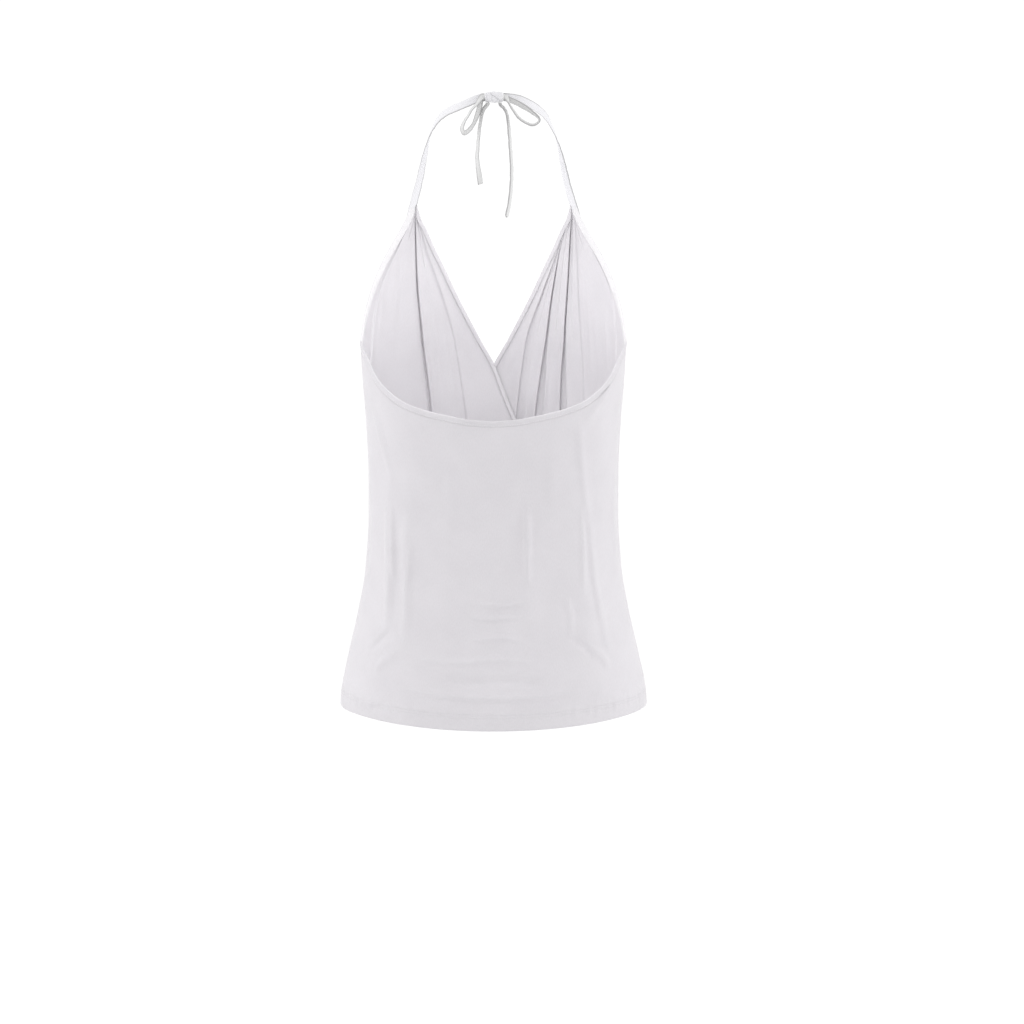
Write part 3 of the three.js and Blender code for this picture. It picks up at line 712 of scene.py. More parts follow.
def cloth_map(grid, start):
    """A map of the cloth in millimetres: across from the grain line, and down."""
    step = np.linalg.norm(np.diff(grid, axis=1), axis=2)
    across = start[:, None] + np.concatenate(
        [np.zeros((len(grid), 1)), np.cumsum(step, axis=1)], axis=1)
    down = run_along(grid[:, grid.shape[1] // 2])
    return np.stack([across, np.tile(-down[:, None], (1, grid.shape[1]))], axis=-1)


print("a panel's turned edge has", len(fold_under([4, 2])), "places across it")

# %% [markdown]
# ## The front panels
# Each front is cut wide and pleated into its short top edge at the strap. The pleats fan
# out from there, stand deepest beside the bust and die out under it. Each pleat is a real
# fold here: a rounded nose leans over a slit, and the cloth goes down one wall of the slit
# and up the other. Near the strap the walls touch and only a dark line shows. Lower down
# the slit opens to a trough. The V edge has a narrow turning, stitched down, that is seen
# from behind inside the front.

# %% Measure the folds
PANEL_TOP = -113.4
PLEAT_LEVELS = (-122, -160, -210, -262, -305, -350)
PLEAT_FADE = {"start": -114, "full": -134, "ease": -350, "end": -480}
# Rows are a pleat's turns and its slit's widths at the six levels, its nose and its depth,
# and how softly the cloth comes back up beyond the slit at the six levels
PLEATS_LEFT = [
    ((32.6, 29.0, 22.8, 17.5, 14.8, 12.4), (0.1, 0.4, 1.2, 3, 4, 4), 0.9, 0.9,
     (0.5, 0.7, 1, 1, 1, 1)),
    ((33.4, 34.0, 34.4, 33.7, 31.9, 30.3), (0.06, 0.08, 0.1, 0.2, 0.5, 1.2), 2.5, 2.8,
     (0, 0.1, 0.35, 0.7, 0.9, 1)),
    ((35.4, 43.3, 57.6, 68, 72, 74), (0.2, 0.6, 1.5, 3, 3, 3), 0.7, 0.8,
     (0.6, 1, 1, 1, 1, 1))]
PLEATS_RIGHT = [
    ((31.6, 27.6, 21.1, 14.6, 12, 10), (0.1, 0.12, 0.3, 2.2, 3, 3), 1.5, 1.6,
     (0, 0.2, 0.4, 1, 1, 1)),
    ((32, 28.4, 25.7, 23.8, 21.3, 19.2), (0.06, 0.08, 0.12, 1.0, 5, 8), 2.4, 3.3,
     (0, 0, 0.1, 0.2, 0.1, 0)),
    ((33.3, 33.0, 33.0, 33.0, 32.0, 32.2), (0.06, 0.08, 0.12, 0.8, 4.5, 7), 2.4, 3.3,
     (0, 0, 0.1, 0.2, 0.3, 0.3)),
    ((34.6, 36.0, 38.3, 41.8, 44.2, 46.2), (0.5, 1.5, 3, 4, 4.5, 5), 0.8, 0.9,
     (0.6, 1, 1, 1, 1, 1)),
    ((35.8, 44.6, 59.5, 68.4, 72, 74), (0.2, 0.8, 2, 3, 3, 3), 0.5, 0.6,
     (0.8, 1, 1, 1, 1, 1))]
OVERLAP = {"lift": 2, "ease": 12, "swell": 3.2, "swell_at": -400, "swell_reach": 90,
           "aside": 0.85, "aside_from": 72, "aside_to": 89}
V_TURNING = 4.2
V_STITCH = 3.5
HEM_TURNING = 17.5
HEM_STITCH = 16.2
HEM_STITCH_SECOND = 13.0
HEM_EASE = 26
LOW_START = -480
FAR_FROM_HEM = 99
HEM_REACH = 150
# How far a panel's edge runs in under its binding's inner edge
UNDERLAP = 0.8
# The rows down a front: the height each run of rows ends at, and its step
FRONT_RUNS = ((-150, -1.8), (LOW_START, -3.9), (HEM_SIDE + HEM_EASE, -5))
FOLD_STEPS = 2
SHARP_NOSE = 1.3
# A fold from its slit's line: how the cloth climbs on to its nose, and how far softness
# spreads the places down its wall
NOSE_RISE = [(-10, 0), (-6.5, -0.27), (-3.4, -0.73), (-1.9, -0.97)]
WALL_SPREAD = (0.1, 0.6, 1.3, 2, 2.7, 3.1, 3.3)
FOOT_SPREAD = 3.6
# Columns of plain cloth before the first fold, between folds and after the last
PLAIN_COLUMNS = (14, 10, 12)
# A row below the point of the V edge's turning, where that turning has its full width
FULL_ROW = 70


def fold_section(slit, nose, depth, soft, before, after):
    """Places across one fold and its heights, from the slit's line, in millimetres.

    The near side climbs on to the nose and goes down the wall. The far side comes back up
    softly from low down or sharply from high up, and is squeezed to the room there is.
    """
    blur = 0.0 if nose > SHARP_NOSE else soft
    left = float(np.clip(before / 20, 0.02, 1))
    need = slit + 1.4 + FOOT_SPREAD * blur
    reach = 12 + 12 * soft
    right = float(np.clip((after / 2 - need) / reach, 0.05, 1))
    squeeze = float(np.clip(after / 2 / (need + reach * right), 0.02, 1))
    lean = 0.25 + 0.12 * min(slit, 4)
    places = [(s * left, h * nose) for s, h in NOSE_RISE]
    places += [(-min(0.8, 0.95 * left), -1.08 * nose)]
    wall = [(lean - 0.25, -0.9 * nose), (lean, -0.5 * nose), (lean - 0.2, 0.1 * depth),
            (0.02, 0.5 * depth), (0.12, 0.85 * depth), (0.5 + 0.12 * slit, depth),
            (0.62 + 0.8 * slit, 0.98 * depth)]
    wall = [(s + blur * b, h) for (s, h), b in zip(wall, WALL_SPREAD)]
    deep = slit + FOOT_SPREAD * blur
    low = [(s, h * depth) for s, h in (
        (deep + 0.95, 0.9), (deep + 1.1, 0.84), (deep + 1.3, 0.8),
        (deep + 1.5 + 0.12 * reach * right, 0.74), (need + 0.3 * reach * right, 0.58),
        (need + 0.5 * reach * right, 0.37), (need + 0.75 * reach * right, 0.11))]
    high = [(deep + 0.95, 0.82 * depth), (deep + 1.08, 0.4 * depth),
            (deep + 1.2, -0.3 * nose), (deep + 1.5 + 0.6 * right, -0.55 * nose),
            (need + 2.4 * right, -0.62 * nose), (need + 5 * right, -0.45 * nose),
            (need + 8.5 * right, -0.14 * nose)]
    far = [(sh + (sl - sh) * soft, hh + (hl - hh) * soft)
           for (sl, hl), (sh, hh) in zip(low, high)]
    places += [(s * squeeze, h) for s, h in wall + far + [(need + reach * right, 0)]]
    strength = float(np.clip(min(before, after) / 7, 0, 1))
    line = smooth_line([(s, h * strength, 0) for s, h in places], FOLD_STEPS)[0]
    return line[:, 0], line[:, 1]


def dying(z):
    """How far the pleats have died out at a height."""
    return smoothstep(-z, -PLEAT_FADE["ease"], -PLEAT_FADE["end"])


def pleat_strength(z):
    """How far the pleats are open at a height."""
    return smoothstep(-z, -PLEAT_FADE["start"], -PLEAT_FADE["full"]) * (1 - dying(z))


def at_height(values, z):
    """A pleat's value at a height, from its values at the six levels."""
    return float(smooth_table(list(zip(PLEAT_LEVELS, values)), 0, 1)(z))


def pleat_lines(pleats, z, inner, outer):
    """Each pleat's turn and slit at a height, kept between the panel's two edges."""
    width = outer - inner
    lines, slits = [], []
    for k, (turns, widths, *_) in enumerate(pleats):
        turn = math.radians(at_height(turns, z))
        even = inner + (k + 1) / (len(pleats) + 1) * width
        turn = turn + (even - turn) * float(dying(z))
        least = inner + (0.3 + k) / (len(pleats) + 1) * 0.55 * width
        most = outer - (len(pleats) - k - 0.4) / (len(pleats) + 1) * 0.4 * width
        lines.append(min(max(turn, least), most))
        slits.append(at_height(widths, z))
    return lines, slits


def folded_row(pleats, counts, z, inner, outer, speed):
    """The turns and heights of a panel's columns at one height, folds and all."""
    lines, slits = pleat_lines(pleats, z, inner, outer)
    strength = float(pleat_strength(z))
    start = inner + FOLD_RADIUS / speed
    turns, heights = [], []
    for k, (turn, slit) in enumerate(zip(lines, slits)):
        before = 2 * (turn - start) if k == 0 else turn - lines[k - 1]
        after = 2 * (outer - turn) if k == len(lines) - 1 else lines[k + 1] - turn
        _, _, nose, depth, softness = pleats[k]
        soft = at_height(softness, z)
        across, rise = fold_section(slit, nose, depth, soft, before * speed, after * speed)
        even = np.linspace(across[0], across[-1], len(across))
        across = even + (across - even) * min(1, 1.4 * strength)
        fold = turn + across / speed
        plain = np.linspace(start, fold[0], counts[k] + 1 + (k > 0))[int(k > 0):-1]
        turns += [plain, fold]
        heights += [0 * plain, rise * strength]
        start = fold[-1]
    plain = np.linspace(start, outer, counts[-1] + 2)[1:]
    return np.concatenate(turns + [plain]), np.concatenate(heights + [0 * plain])


print("a fold has", len(fold_section(1, 2, 4, 0, 30, 30)[0]), "places across it")

# %% Cut and fold the front panels
armhole_seam = smooth_table(inset_edge(ARMHOLE, FRONT, BINDING_WIDTH - UNDERLAP), 0, 1)


def panel_levels(top, side):
    """The rows of a panel as (height or share, distance up from the hem or None, face lift)."""
    if side == FRONT:
        starts = [top] + [end for end, _ in FRONT_RUNS]
        shares = np.concatenate([np.arange(start, end, step)
                                 for start, (end, step) in zip(starts, FRONT_RUNS)])
    else:
        shares = np.concatenate([np.linspace(0, 0.45, 52)[:-1], np.linspace(0.45, 1, 112)[:-1]])
    plain = [(share, None, FACE_LIFT) for share in shares]
    near = [22, 20, 18.6, 17.4, HEM_STITCH + 0.5, HEM_STITCH, HEM_STITCH - 0.6, 14.6,
            HEM_STITCH_SECOND + 0.5, HEM_STITCH_SECOND, HEM_STITCH_SECOND - 0.6, 10.5, 7.5,
            4.5, 2.2]
    hem_rows = [(HEM_SIDE, up, FACE_LIFT) for up in near]
    bend = [(HEM_SIDE, up, lift) for up, lift in reversed(fold_under([]))]
    inside = [(HEM_SIDE, up, TURNED_LIFT) for up in (
        2.2, 5, 8.5, 11.5, HEM_STITCH_SECOND, 14.6, HEM_STITCH, HEM_TURNING)]
    return plain + hem_rows + bend + inside


def hem_pucker(turn, up, seed):
    """The hem is drawn in along its stitching, and ripples a little beside it."""
    groove = bell(up, HEM_STITCH, 0.9) + 0.7 * bell(up, HEM_STITCH_SECOND, 0.9)
    ripple = waver(turn * HEM_REACH, seed, (8.7, 0.5), (13.1, 0.5), (5.9, 0.35), (31, 0.5))
    return -0.42 * groove + 0.36 * bell(up, 14, 8) * ripple


def overlap_lift(turn, z):
    """How far the over panel stands off the under one."""
    under_edge = -np.radians(v_edge_turn(z))
    ease = math.radians(OVERLAP["ease"])
    share = smoothstep(under_edge + ease - turn, 0, ease)
    swell = OVERLAP["swell"] * bell(z, OVERLAP["swell_at"], OVERLAP["swell_reach"])
    near_seam = smoothstep(np.abs(turn), math.radians(OVERLAP["aside_from"]),
                           math.radians(OVERLAP["aside_to"]))
    aside = 1 - OVERLAP["aside"] * near_seam
    return share * (OVERLAP["lift"] * aside + swell * np.cos(turn) ** 2)


def front_panel(name, hand, pleats, creases, over, seed):
    """A front panel as one turned and pleated sheet."""
    first, between, last = PLAIN_COLUMNS
    counts = [first] + [between] * (len(pleats) - 1) + [last]
    turned = fold_under([V_TURNING, V_STITCH, 2.6, 1.4])
    skip = len(turned)
    grid, aside = [], []
    for z, up, face in panel_levels(PANEL_TOP, FRONT):
        seam = float(seam_turn(z, FRONT))
        inner = max(math.radians(float(v_edge_turn(z))), -seam)
        outer = min(math.radians(float(armhole_seam(z))), seam)
        speed = float(body_frame((inner + outer) / 2, z, FRONT)[2])
        near_speed = float(body_frame(inner + 0.01, z, FRONT)[2])
        share = min(1, 0.5 * (outer - inner) * near_speed / V_TURNING)
        flat, height = folded_row(pleats, counts, z, inner, outer, speed)
        under = inner + share * np.array([d for d, _ in turned]) / near_speed
        turns = np.concatenate([under, flat])
        lift = face + np.concatenate([[lift - FACE_LIFT for _, lift in turned], height])
        low = float(smoothstep(-z, -LOW_START, -HEM_SIDE - HEM_EASE))
        heights = z + low * (hem_height(turns, FRONT) - HEM_SIDE)
        if up is not None:
            heights = hem_height(turns, FRONT) + up
        lift = lift + crease_field(turns, heights, FRONT, creases)
        lift = lift + hem_pucker(turns, FAR_FROM_HEM if up is None else up, seed)
        away = (turns - inner) * near_speed
        ripple = waver(z, seed + 3, (7.3, 0.5), (11.9, 0.5))
        lift = lift - 0.15 * bell(away, V_STITCH, 0.8)
        lift = lift + 0.1 * ripple * bell(away, 0, 6)
        if over:
            lift = lift + overlap_lift(turns, z)
        place, normal, _ = body_frame(turns, heights, FRONT)
        row = place + normal * lift[:, None]
        row[:, 0] *= hand
        grid.append(row)
        aside.append(inner * near_speed)
    grid = np.array(grid)
    piece = shell(name, grid, cloth_map(grid, np.array(aside)), cloth,
                  name.replace("_cloth", ""), -hand)
    inside = int(np.argmin(np.abs(np.array([d for d, _ in turned[:4]]) - V_STITCH)))
    away = np.linalg.norm(grid[FULL_ROW] - grid[FULL_ROW, skip - 3], axis=1)
    outside = skip + int(np.argmin(np.abs(away[skip:skip + first] - V_STITCH)))
    return piece, grid, inside, outside


# Each crease: its line as (turn, height), how far it stands out, and its two widths
CREASES_LEFT = [
    (((78, -330), (55, -372), (28, -425), (5, -470)), 1.3, 7, 11),
    (((84, -372), (60, -412), (32, -462), (8, -505)), 1.1, 6, 10),
    (((86, -418), (62, -452), (38, -500)), 0.9, 6, 9),
    (((20, -520), (24, -575), (22, -630)), 1.4, 8, 12),
    (((52, -530), (56, -580), (58, -640)), 1.2, 7, 12),
    (((68, -282), (74, -300), (80, -322)), 0.9, 6, 8),
    (((-20, -560), (-18, -600), (-20, -640)), 0.9, 7, 10),
    (((26.5, -225), (27.4, -262), (26.4, -300), (25.2, -352)), 1.1, 3.5, 6),
    (((16.5, -250), (15.5, -275), (14.6, -330)), 0.8, 4, 7),
    (((40, -170), (44, -215), (50, -262), (54, -310)), 1.0, 4, 8),
    (((40, -150), (45, -200), (50, -250)), -1.1, 3, 5),
    (((51, -188), (58, -230), (63, -272)), -1.0, 3, 5),
    (((29, -232), (28, -290), (26, -345)), -1.3, 3, 5),
    (((21, -226), (20, -280), (18, -338)), -0.9, 3, 5)]
CREASES_RIGHT = [
    (((80, -322), (58, -362), (30, -408), (2, -452), (-24, -492)), 1.5, 7, 11),
    (((85, -360), (62, -398), (34, -446), (4, -492), (-24, -532)), 1.2, 6, 10),
    (((86, -410), (64, -440), (40, -478), (14, -516)), 1.1, 6, 10),
    (((86, -455), (66, -478), (44, -508)), 0.8, 5, 8),
    (((14, -560), (18, -600), (15, -640)), 1.3, 8, 12),
    (((46, -545), (50, -590), (52, -645)), 1.3, 8, 12),
    (((70, -286), (76, -304), (82, -328)), 1.0, 6, 8),
    (((-34, -575), (-38, -610), (-38, -645)), 0.8, 7, 9),
    (((50, -240), (54, -290), (56, -335)), 0.8, 4, 8),
    (((39, -165), (44, -212), (48, -262), (51, -312)), -1.2, 3, 6),
    (((56, -226), (61, -270), (63, -312)), -1.1, 3.5, 6),
    (((14, -246), (9, -280), (3, -312)), -0.7, 4, 6)]

left_front, left_grid, left_in, left_out = front_panel(
    "front_panel_left_cloth", 1, PLEATS_LEFT, CREASES_LEFT, False, 11)
right_front, right_grid, right_in, right_out = front_panel(
    "front_panel_right_cloth", -1, PLEATS_RIGHT, CREASES_RIGHT, True, 23)
print("front panels have", len(left_front.data.polygons), "and",
      len(right_front.data.polygons), "faces")

# %% [markdown]
# ## The back panel
# The back is one smooth piece from side seam to side seam. It barely folds: a few long soft
# ridges fall from the side tops, one short one stands beside the middle, and small level
# wrinkles lie above the hem. They are drawn one by one, as uneven as they are in the
# picture, and with no two alike.

# %% Cut the back panel
BACK_COLUMNS = 168
BACK_CREASE_SCALE = 1.8
BACK_HEM_ROOM = 24
neckline_seam = smooth_table(inset_edge(BACK_NECKLINE, BACK, BINDING_WIDTH - UNDERLAP), 1, 0)
BACK_CREASES = [
    (((53, -436), (52, -470), (50, -505), (49, -518)), 0.9, 2.5, 3.5),
    (((40, -478), (40, -505), (41, -532)), 0.8, 3, 3.5),
    (((-15, -428), (-15.6, -474), (-14.8, -524)), 1.1, 2.6, 3.4),
    (((-43, -436), (-44, -480), (-42, -535)), 0.9, 3, 4),
    (((-33, -535), (-34, -556), (-33, -580)), 0.8, 3, 4),
    (((8, -541), (-4, -544), (-14, -540)), 0.8, 2, 3),
    (((9, -556), (0, -558), (-13, -555)), 0.9, 2, 3),
    (((46, -572), (52, -584), (58, -598)), -0.9, 4, 5),
    (((-32, -578), (-38, -588), (-43, -600)), -0.8, 4, 5),
    (((30, -600), (14, -604), (-2, -601), (-16, -604)), 0.8, 2.5, 3.5),
    (((57, -430), (55, -478), (52, -527), (49, -575)), 1.5, 5, 8),
    (((44, -450), (43, -496), (40, -540), (38, -590)), 1.0, 5, 7),
    (((-15, -436), (-15, -470), (-14.3, -528)), 0.8, 3.5, 5),
    (((-41, -344), (-43, -380), (-46, -430), (-48, -470)), 0.9, 5, 7),
    (((-49, -440), (-50, -500), (-51, -550), (-52, -600)), 1.3, 5, 8),
    (((68, -332), (61, -366), (53, -414)), 1.1, 4, 7),
    (((-62, -306), (-54, -326), (-44, -350)), 0.9, 4, 6),
    (((8, -580), (-3, -577), (-12, -581)), 0.9, 2.5, 3.5),
    (((20, -622), (8, -626), (-6, -624), (-22, -628)), -1.2, 4, 6),
    (((40, -630), (22, -638), (4, -641), (-14, -641), (-34, -634)), 1.2, 3, 5),
    (((40, -596), (47, -603), (52, -618)), 0.9, 4, 6),
    (((-40, -592), (-47, -600), (-50, -616)), 0.9, 4, 6),
    (((70, -640), (58, -652), (44, -650)), 0.8, 3.5, 5),
    (((84, -648), (72, -664), (58, -668)), 0.7, 3, 4.5),
    (((-84, -640), (-74, -655), (-60, -660)), 0.5, 3.5, 5),
    (((20, -380), (19, -430), (21, -480)), 0.4, 7, 9),
    (((-28, -372), (-27, -410), (-29, -455)), 0.4, 7, 9),
    (((76, -420), (73, -470), (72, -520)), 0.7, 6, 8),
    (((-74, -400), (-72, -450), (-73, -505)), 0.7, 6, 8)]
BACK_WAVES = [
    (54, 7, 1.5, -400, -640), (41, 5, 1.2, -390, -600), (-15, 5, 1.3, -470, -600),
    (-43, 7, 1.6, -400, -650)]


def back_wave(turn, z):
    """The large soft waves, as in the solid."""
    total = 0
    for middle, reach, height, start, end in BACK_WAVES:
        offset = (turn - math.radians(middle)) / math.radians(reach)
        fade = np.clip(1 - ((z - (start + end) / 2) / ((start - end) / 2)) ** 2, 0, 1)
        total = total + height * np.exp(-offset**2) * fade
    return total


def back_panel(name, seed):
    """The back as one sheet, with its hem turned up inside."""
    wide = np.linspace(-1, 1, BACK_COLUMNS + 1) * math.pi / 2
    top = neckline_seam(np.degrees(np.abs(wide)))
    grid = []
    for share, up, face in panel_levels(0, BACK):
        hem = hem_height(wide, BACK)
        z = top + share * (hem + BACK_HEM_ROOM - top) if up is None else hem + up
        seam = seam_turn(z, BACK)
        turn = np.clip(wide, -seam, seam)
        creases = BACK_CREASE_SCALE * crease_field(turn, z, BACK, BACK_CREASES)
        lift = face + back_wave(turn, z) + creases
        lift = lift + hem_pucker(turn, FAR_FROM_HEM if up is None else up, seed)
        place, normal, _ = body_frame(turn, z, BACK)
        grid.append(place + normal * lift[:, None])
    grid = np.array(grid)
    start = -np.linalg.norm(np.diff(grid[:, :BACK_COLUMNS // 2 + 1], axis=1), axis=2).sum(1)
    piece = shell(name, grid, cloth_map(grid, start), cloth, "back_panel", 1)
    return piece, grid


back, back_grid = back_panel("back_panel_cloth", 37)
print("back panel has", len(back.data.polygons), "faces")

# %% [markdown]
# ## The bindings
# A strip of the same jersey is folded over each raw edge and stitched through all its
# layers. Its section is a flattened ring again, with a groove where the needle went, and
# it puckers a little between stitches. At the middle of the back it has rolled outwards.

# %% Fold the bindings over the edges
BINDING_PROUD = 0.5
BINDING_DEEP = 1.7
BINDING_GROOVE = 0.8
# Where an armhole binding meets its strap, it stands proud and is flattened about a lift
APEX_RUN = 14
APEX_PROUD = 1.5
APEX_FLAT = 0.5
APEX_MIDDLE = -0.6
ROLL = {"from": -10.4, "to": 52, "reach": 26, "lift": 1.3}


def binding_section(sides=24):
    """A binding's section: share across it from the finished edge, and the lift."""
    across, through = flat_ring(sides, 0.4)
    middle = (BINDING_PROUD - BINDING_DEEP) / 2
    half = (BINDING_PROUD + BINDING_DEEP) / 2
    crown = 1 + 0.1 * (1 - across**2)
    share = (across + 1) / 2
    groove = 1 - 0.3 * bell(share, BINDING_GROOVE, 0.05)
    return share, middle + half * through * crown * groove


def roll_lift(x, share):
    """The band's free edge rolls outwards beside the middle of the back."""
    step = smoothstep(x, ROLL["from"] - 0.8, ROLL["from"] + 0.8)
    fade = 1 - smoothstep(x, ROLL["to"] - ROLL["reach"], ROLL["to"])
    lip = bell(share, 0.12, 0.22)
    dip = bell(share, 0.5, 0.1)
    return step * fade * (ROLL["lift"] * lip - 0.5 * dip)


def binding(name, near, far, side, hand, seed, material, rolled=False, apex=0):
    """A band between a finished edge and an inner edge, both as (height, turn) arrays."""
    share, lift = binding_section()
    z = near[:, :1] + share * (far[:, :1] - near[:, :1])
    turn = np.radians(near[:, 1:] + share * (far[:, 1:] - near[:, 1:]))
    seam = seam_turn(z, side)
    turn = np.clip(turn, -seam, seam)
    place, normal, _ = body_frame(turn, z, side)
    run = run_along(place[:, 0])
    pucker = waver(run, seed, (4.9, 0.5), (7.7, 0.6), (3.1, 0.3))[:, None]
    lift = lift + 0.13 * pucker * (0.3 + 0.9 * share)
    if apex:
        start = 1 - smoothstep(run, 0, apex)[:, None]
        lift = lift + start * (APEX_PROUD - APEX_FLAT * (lift - APEX_MIDDLE))
    if rolled:
        lift = lift + roll_lift(place[..., 0], share)
    points = place + normal * lift[..., None]
    points[..., 0] *= hand
    points[..., 2] += 0.1 * waver(run, seed + 1, (5.7, 1), (9.1, 1))[:, None] * (share > 0.9)
    rings, sides = points.shape[:2]
    faces = tube_faces(rings, sides)
    if hand * side > 0:
        faces = [tuple(reversed(face)) for face in faces]
    uv = np.stack(np.broadcast_arrays(run[:, None], share * BINDING_WIDTH), axis=-1)
    piece = make_piece(f"{name}_strip", points.reshape(-1, 3), faces,
                       uv.reshape(-1, 2), material, name)
    rows = []
    for sign in (1, -1):
        outer = np.where(sign * np.sin(2 * math.pi * np.arange(sides) / sides) > 0.05)[0]
        pick = outer[np.argmin(np.abs(share[outer] - BINDING_GROOVE))]
        rows.append(points[:, pick] + sign * 0.08 * normal[:, pick] * (hand, 1, 1))
    return piece, rows


def armhole_binding(name, hand, seed):
    """The band round an armhole, from the strap to the side seam."""
    def rows(edge):
        turn_at = smooth_table(edge, 0, 1)
        end = float(smooth_table(edge, 1, 0)(SIDE_TURN))
        z = np.concatenate([np.arange(-109.5, -128, -1.4), np.linspace(-128.5, end, 88)])
        return np.stack([z, turn_at(z)], axis=1)
    return binding(name, rows(ARMHOLE), rows(inset_edge(ARMHOLE, FRONT, BINDING_WIDTH)),
                   FRONT, hand, seed, trim, apex=APEX_RUN)


def neck_binding(name, seed):
    """The band along the back neckline, from side seam to side seam."""
    def rows(edge):
        height_at = smooth_table(edge, 1, 0)
        turn = np.linspace(-SIDE_TURN, SIDE_TURN, 181)
        return np.stack([height_at(np.abs(turn)), turn], axis=1)
    return binding(name, rows(BACK_NECKLINE), rows(inset_edge(BACK_NECKLINE, BACK, BINDING_WIDTH)),
                   BACK, 1, seed, cloth, rolled=True)


binding_lines = []
for piece, rows in (armhole_binding("armhole_binding_left", 1, 41),
                    armhole_binding("armhole_binding_right", -1, 47),
                    neck_binding("back_neck_binding", 53)):
    binding_lines += rows
    print(piece.name, "is", round(run_along(rows[0])[-1]), "mm long")

# %% [markdown]
# ## The stitches
# Every turning and binding is held by a row of stitches. Geometry Nodes resample each
# stitch line at the stitch length, lay one small capsule on each place along the line, and
# realize them. The sizes are named inputs of the tree, so one tree serves every seam.

# %% Build the stitch tree
THREAD_RADIUS = 0.00017
WANDER = 0.08
CAPSULE_SIDES = 6
CAPSULE_RINGS = 4
CAPSULE_FACES = CAPSULE_SIDES * CAPSULE_RINGS
STITCH_INPUTS = (
    ("Spacing", "Float", 0.0027), ("Stitch Length", "Float", 0.0021),
    ("Thread Radius", "Float", THREAD_RADIUS), ("Wander", "Float", WANDER),
    ("Seed", "Int", 4))


def stitch_tree():
    """A node tree that lays stitches along the edges of a mesh."""
    tree = bpy.data.node_groups.new("stitches", "GeometryNodeTree")
    face = tree.interface
    face.new_socket("Geometry", in_out="INPUT", socket_type="NodeSocketGeometry")
    for name, kind, value in STITCH_INPUTS:
        socket = face.new_socket(name, in_out="INPUT", socket_type=f"NodeSocket{kind}")
        socket.default_value = value
    face.new_socket("Thread", in_out="INPUT", socket_type="NodeSocketMaterial")
    face.new_socket("Geometry", in_out="OUTPUT", socket_type="NodeSocketGeometry")
    given = add_node(tree, "NodeGroupInput").outputs
    curve = add_node(tree, "GeometryNodeMeshToCurve", Mesh=given["Geometry"])
    evenly = tree.nodes.new("GeometryNodeResampleCurve")
    evenly.mode = "LENGTH"
    fill_in(tree, evenly, Curve=curve.outputs["Curve"], Length=given["Spacing"])
    capsule = add_node(tree, "GeometryNodeMeshUVSphere", Segments=CAPSULE_SIDES,
                       Rings=CAPSULE_RINGS, Radius=1)
    half = calculate(tree, "MULTIPLY", given["Stitch Length"], 0.5)
    size = add_node(tree, "ShaderNodeCombineXYZ", given["Thread Radius"],
                    given["Thread Radius"], half)
    tangent = add_node(tree, "GeometryNodeInputTangent")
    least = calculate(tree, "MULTIPLY", given["Wander"], -1)
    wander = add_node(tree, "FunctionNodeRandomValue", data_type="FLOAT_VECTOR", Min=least,
                      Max=given["Wander"], Seed=given["Seed"])
    sway = add_node(tree, "ShaderNodeVectorMath", tangent.outputs[0], wander.outputs["Value"],
                    operation="ADD")
    aim = add_node(tree, "FunctionNodeAlignRotationToVector", Vector=sway.outputs["Vector"])
    aim.axis = "Z"
    place = add_node(tree, "GeometryNodeInstanceOnPoints", Points=evenly.outputs["Curve"],
                     Instance=capsule.outputs["Mesh"], Rotation=aim.outputs["Rotation"],
                     Scale=size.outputs["Vector"])
    real = add_node(tree, "GeometryNodeRealizeInstances", place.outputs["Instances"])
    paint = add_node(tree, "GeometryNodeSetMaterial", Geometry=real.outputs["Geometry"],
                     Material=given["Thread"])
    add_node(tree, "NodeGroupOutput", Geometry=paint.outputs["Geometry"])
    return tree


STITCH_TREE = stitch_tree()
SOCKETS = {item.name: item.identifier for item in STITCH_TREE.interface.items_tree
           if item.in_out == "INPUT"}


def sew(name, lines, spacing, length, seed):
    """Lay stitches along lines in millimetres, and return them as one plain mesh."""
    points, edges = [], []
    for line in lines:
        first = len(points)
        points += (np.asarray(line) * MM).tolist()
        edges += [(first + i, first + i + 1) for i in range(len(line) - 1)]
    guide_mesh = bpy.data.meshes.new(f"{name}_guide")
    guide_mesh.from_pydata(points, edges, [])
    guide = place_object(f"{name}_guide", guide_mesh)
    modifier = guide.modifiers.new("stitches", "NODES")
    modifier.node_group = STITCH_TREE
    for socket, value in (("Spacing", spacing), ("Stitch Length", length), ("Seed", seed),
                          ("Thread Radius", THREAD_RADIUS), ("Wander", WANDER), ("Thread", thread)):
        modifier[SOCKETS[socket]] = value
    view = bpy.context.evaluated_depsgraph_get()
    mesh = bpy.data.meshes.new_from_object(guide.evaluated_get(view))
    mesh.name = name
    mesh.shade_smooth()
    bpy.data.objects.remove(guide)
    stitches = place_object(name, mesh)
    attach(stitches, "root")
    print(name, "has", len(mesh.polygons) // CAPSULE_FACES, "stitches")
    return stitches


# %% [markdown]
# The front edges and the hem are stitched through the turning, so their rows show on both
# sides of the cloth. Their lines are columns and rows of the panels' own grids.

# %% Sew the panels and the bindings
PAST_TURNING = 12
STITCH_PROUD = 0.1
levels = panel_levels(PANEL_TOP, FRONT)
back_levels = panel_levels(0, BACK)


def row_lines(grid, rows_of, columns, facing):
    """The hem's stitch lines on a panel: two rows outside, and one inside."""
    normals = grid_normals(grid) * facing
    lines = []
    for up, face in ((HEM_STITCH, FACE_LIFT), (HEM_STITCH_SECOND, FACE_LIFT),
                     (HEM_STITCH, TURNED_LIFT)):
        row = next(i for i, level in enumerate(rows_of) if level[1] == up and level[2] == face)
        lines.append(grid[row, columns] + STITCH_PROUD * normals[row, columns])
    return lines


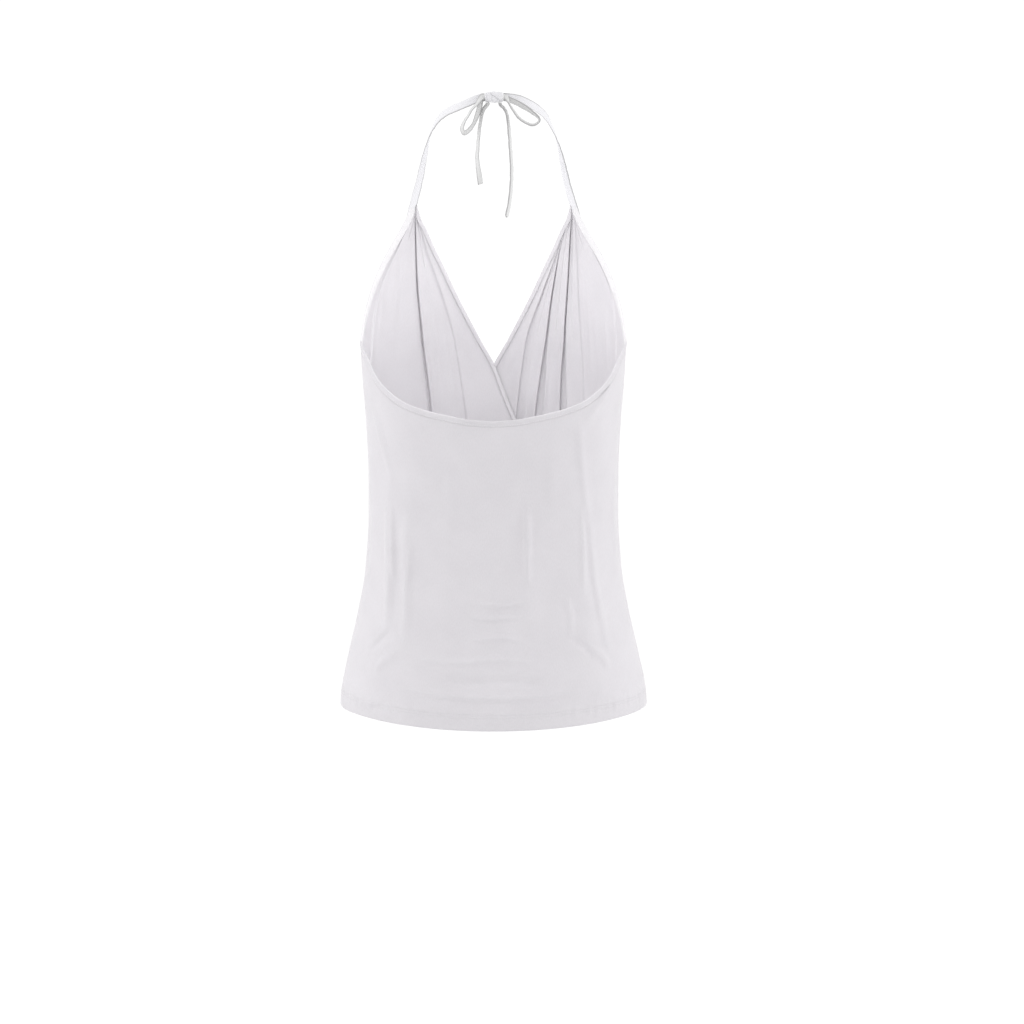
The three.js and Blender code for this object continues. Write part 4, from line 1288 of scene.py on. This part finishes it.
def column_line(grid, column, last, facing):
    """A front edge's stitch line down a column of the panel."""
    normals = grid_normals(grid) * facing
    return grid[1:last, column] + STITCH_PROUD * normals[1:last, column]


EDGE_END = -628
edge_end = next(i for i, level in enumerate(levels) if level[0] < EDGE_END)
cloth_lines = []
for grid, inside, outside, facing in (
        (left_grid, left_in, left_out, -1), (right_grid, right_in, right_out, 1)):
    cloth_lines += [column_line(grid, column, edge_end, facing) for column in (inside, outside)]
    cloth_lines += row_lines(grid, levels, slice(PAST_TURNING, None), facing)
cloth_lines += row_lines(back_grid, back_levels, slice(1, -1), 1)

panel_stitches = sew("panel_stitches", cloth_lines, 0.0029, 0.0022, 7)
sew("binding_stitches", binding_lines, 0.0025, 0.0019, 9)

# %% [markdown]
# ## The cut
# The front panels are cut wide for their pleats and slanted along the crossed edge, so each
# covers only part of the rectangle round it.

# %% [markdown]
# ## The light and the floor
# The picture was made against a bright white background, so soft white light comes from
# everywhere, and the edges that turn away from the camera are the brightest. A white world
# gives the even light, a large panel on either hand brightens the sides and one above lights
# the straps. A small hidden light inside stands in for the light that thin cloth lets in.

# %% Set the floor, the world and the lights
FLOOR_Z = -1.35
FLOOR_HALF = 25
SKY_STRENGTH = 1.08


def studio():
    """A pale floor and a white world."""
    mesh = bpy.data.meshes.new("floor")
    corners = [(-FLOOR_HALF, -FLOOR_HALF, FLOOR_Z), (FLOOR_HALF, -FLOOR_HALF, FLOOR_Z),
               (FLOOR_HALF, FLOOR_HALF, FLOOR_Z), (-FLOOR_HALF, FLOOR_HALF, FLOOR_Z)]
    mesh.from_pydata(corners, [], [(0, 1, 2, 3)])
    floor = place_object("floor", mesh)
    paint, tree, shader = new_material("floor_paint")
    fill_in(tree, shader, Base_Color=(0.95, 0.95, 0.95, 1), Roughness=1, Specular_IOR_Level=0)
    mesh.materials.append(paint)
    world = bpy.data.worlds.new("studio")
    world.use_nodes = True
    sky = world.node_tree.nodes["Background"]
    sky.inputs["Color"].default_value = (1, 1, 1, 1)
    sky.inputs["Strength"].default_value = SKY_STRENGTH
    bpy.context.scene.world = world
    bpy.context.scene.view_settings.view_transform = "Standard"


def light_panel(name, place, target, size, power):
    """A large soft light that faces a place."""
    data = bpy.data.lights.new(name, "AREA")
    data.shape = "RECTANGLE"
    data.size = size
    data.size_y = size
    data.energy = power
    light = place_object(name, data)
    light.location = place
    way = Vector(target) - Vector(place)
    light.rotation_euler = way.to_track_quat("-Z", "Y").to_euler()
    return light


studio()
for name, x in (("left_panel", 2.6), ("right_panel", -2.6)):
    light_panel(name, (x, 0.4, 0.2), (0, -0.05, -0.4), 2.0, 24)
light_panel("top_panel", (0.3, 0.9, 2.6), (0, 0, -0.4), 1.6, 9)
fill = light_panel("fill", (0, 0.028, -0.25), (0, -0.17, -0.27), 0.14, 0.19)
fill.visible_camera = False
print("four lights and a white world")
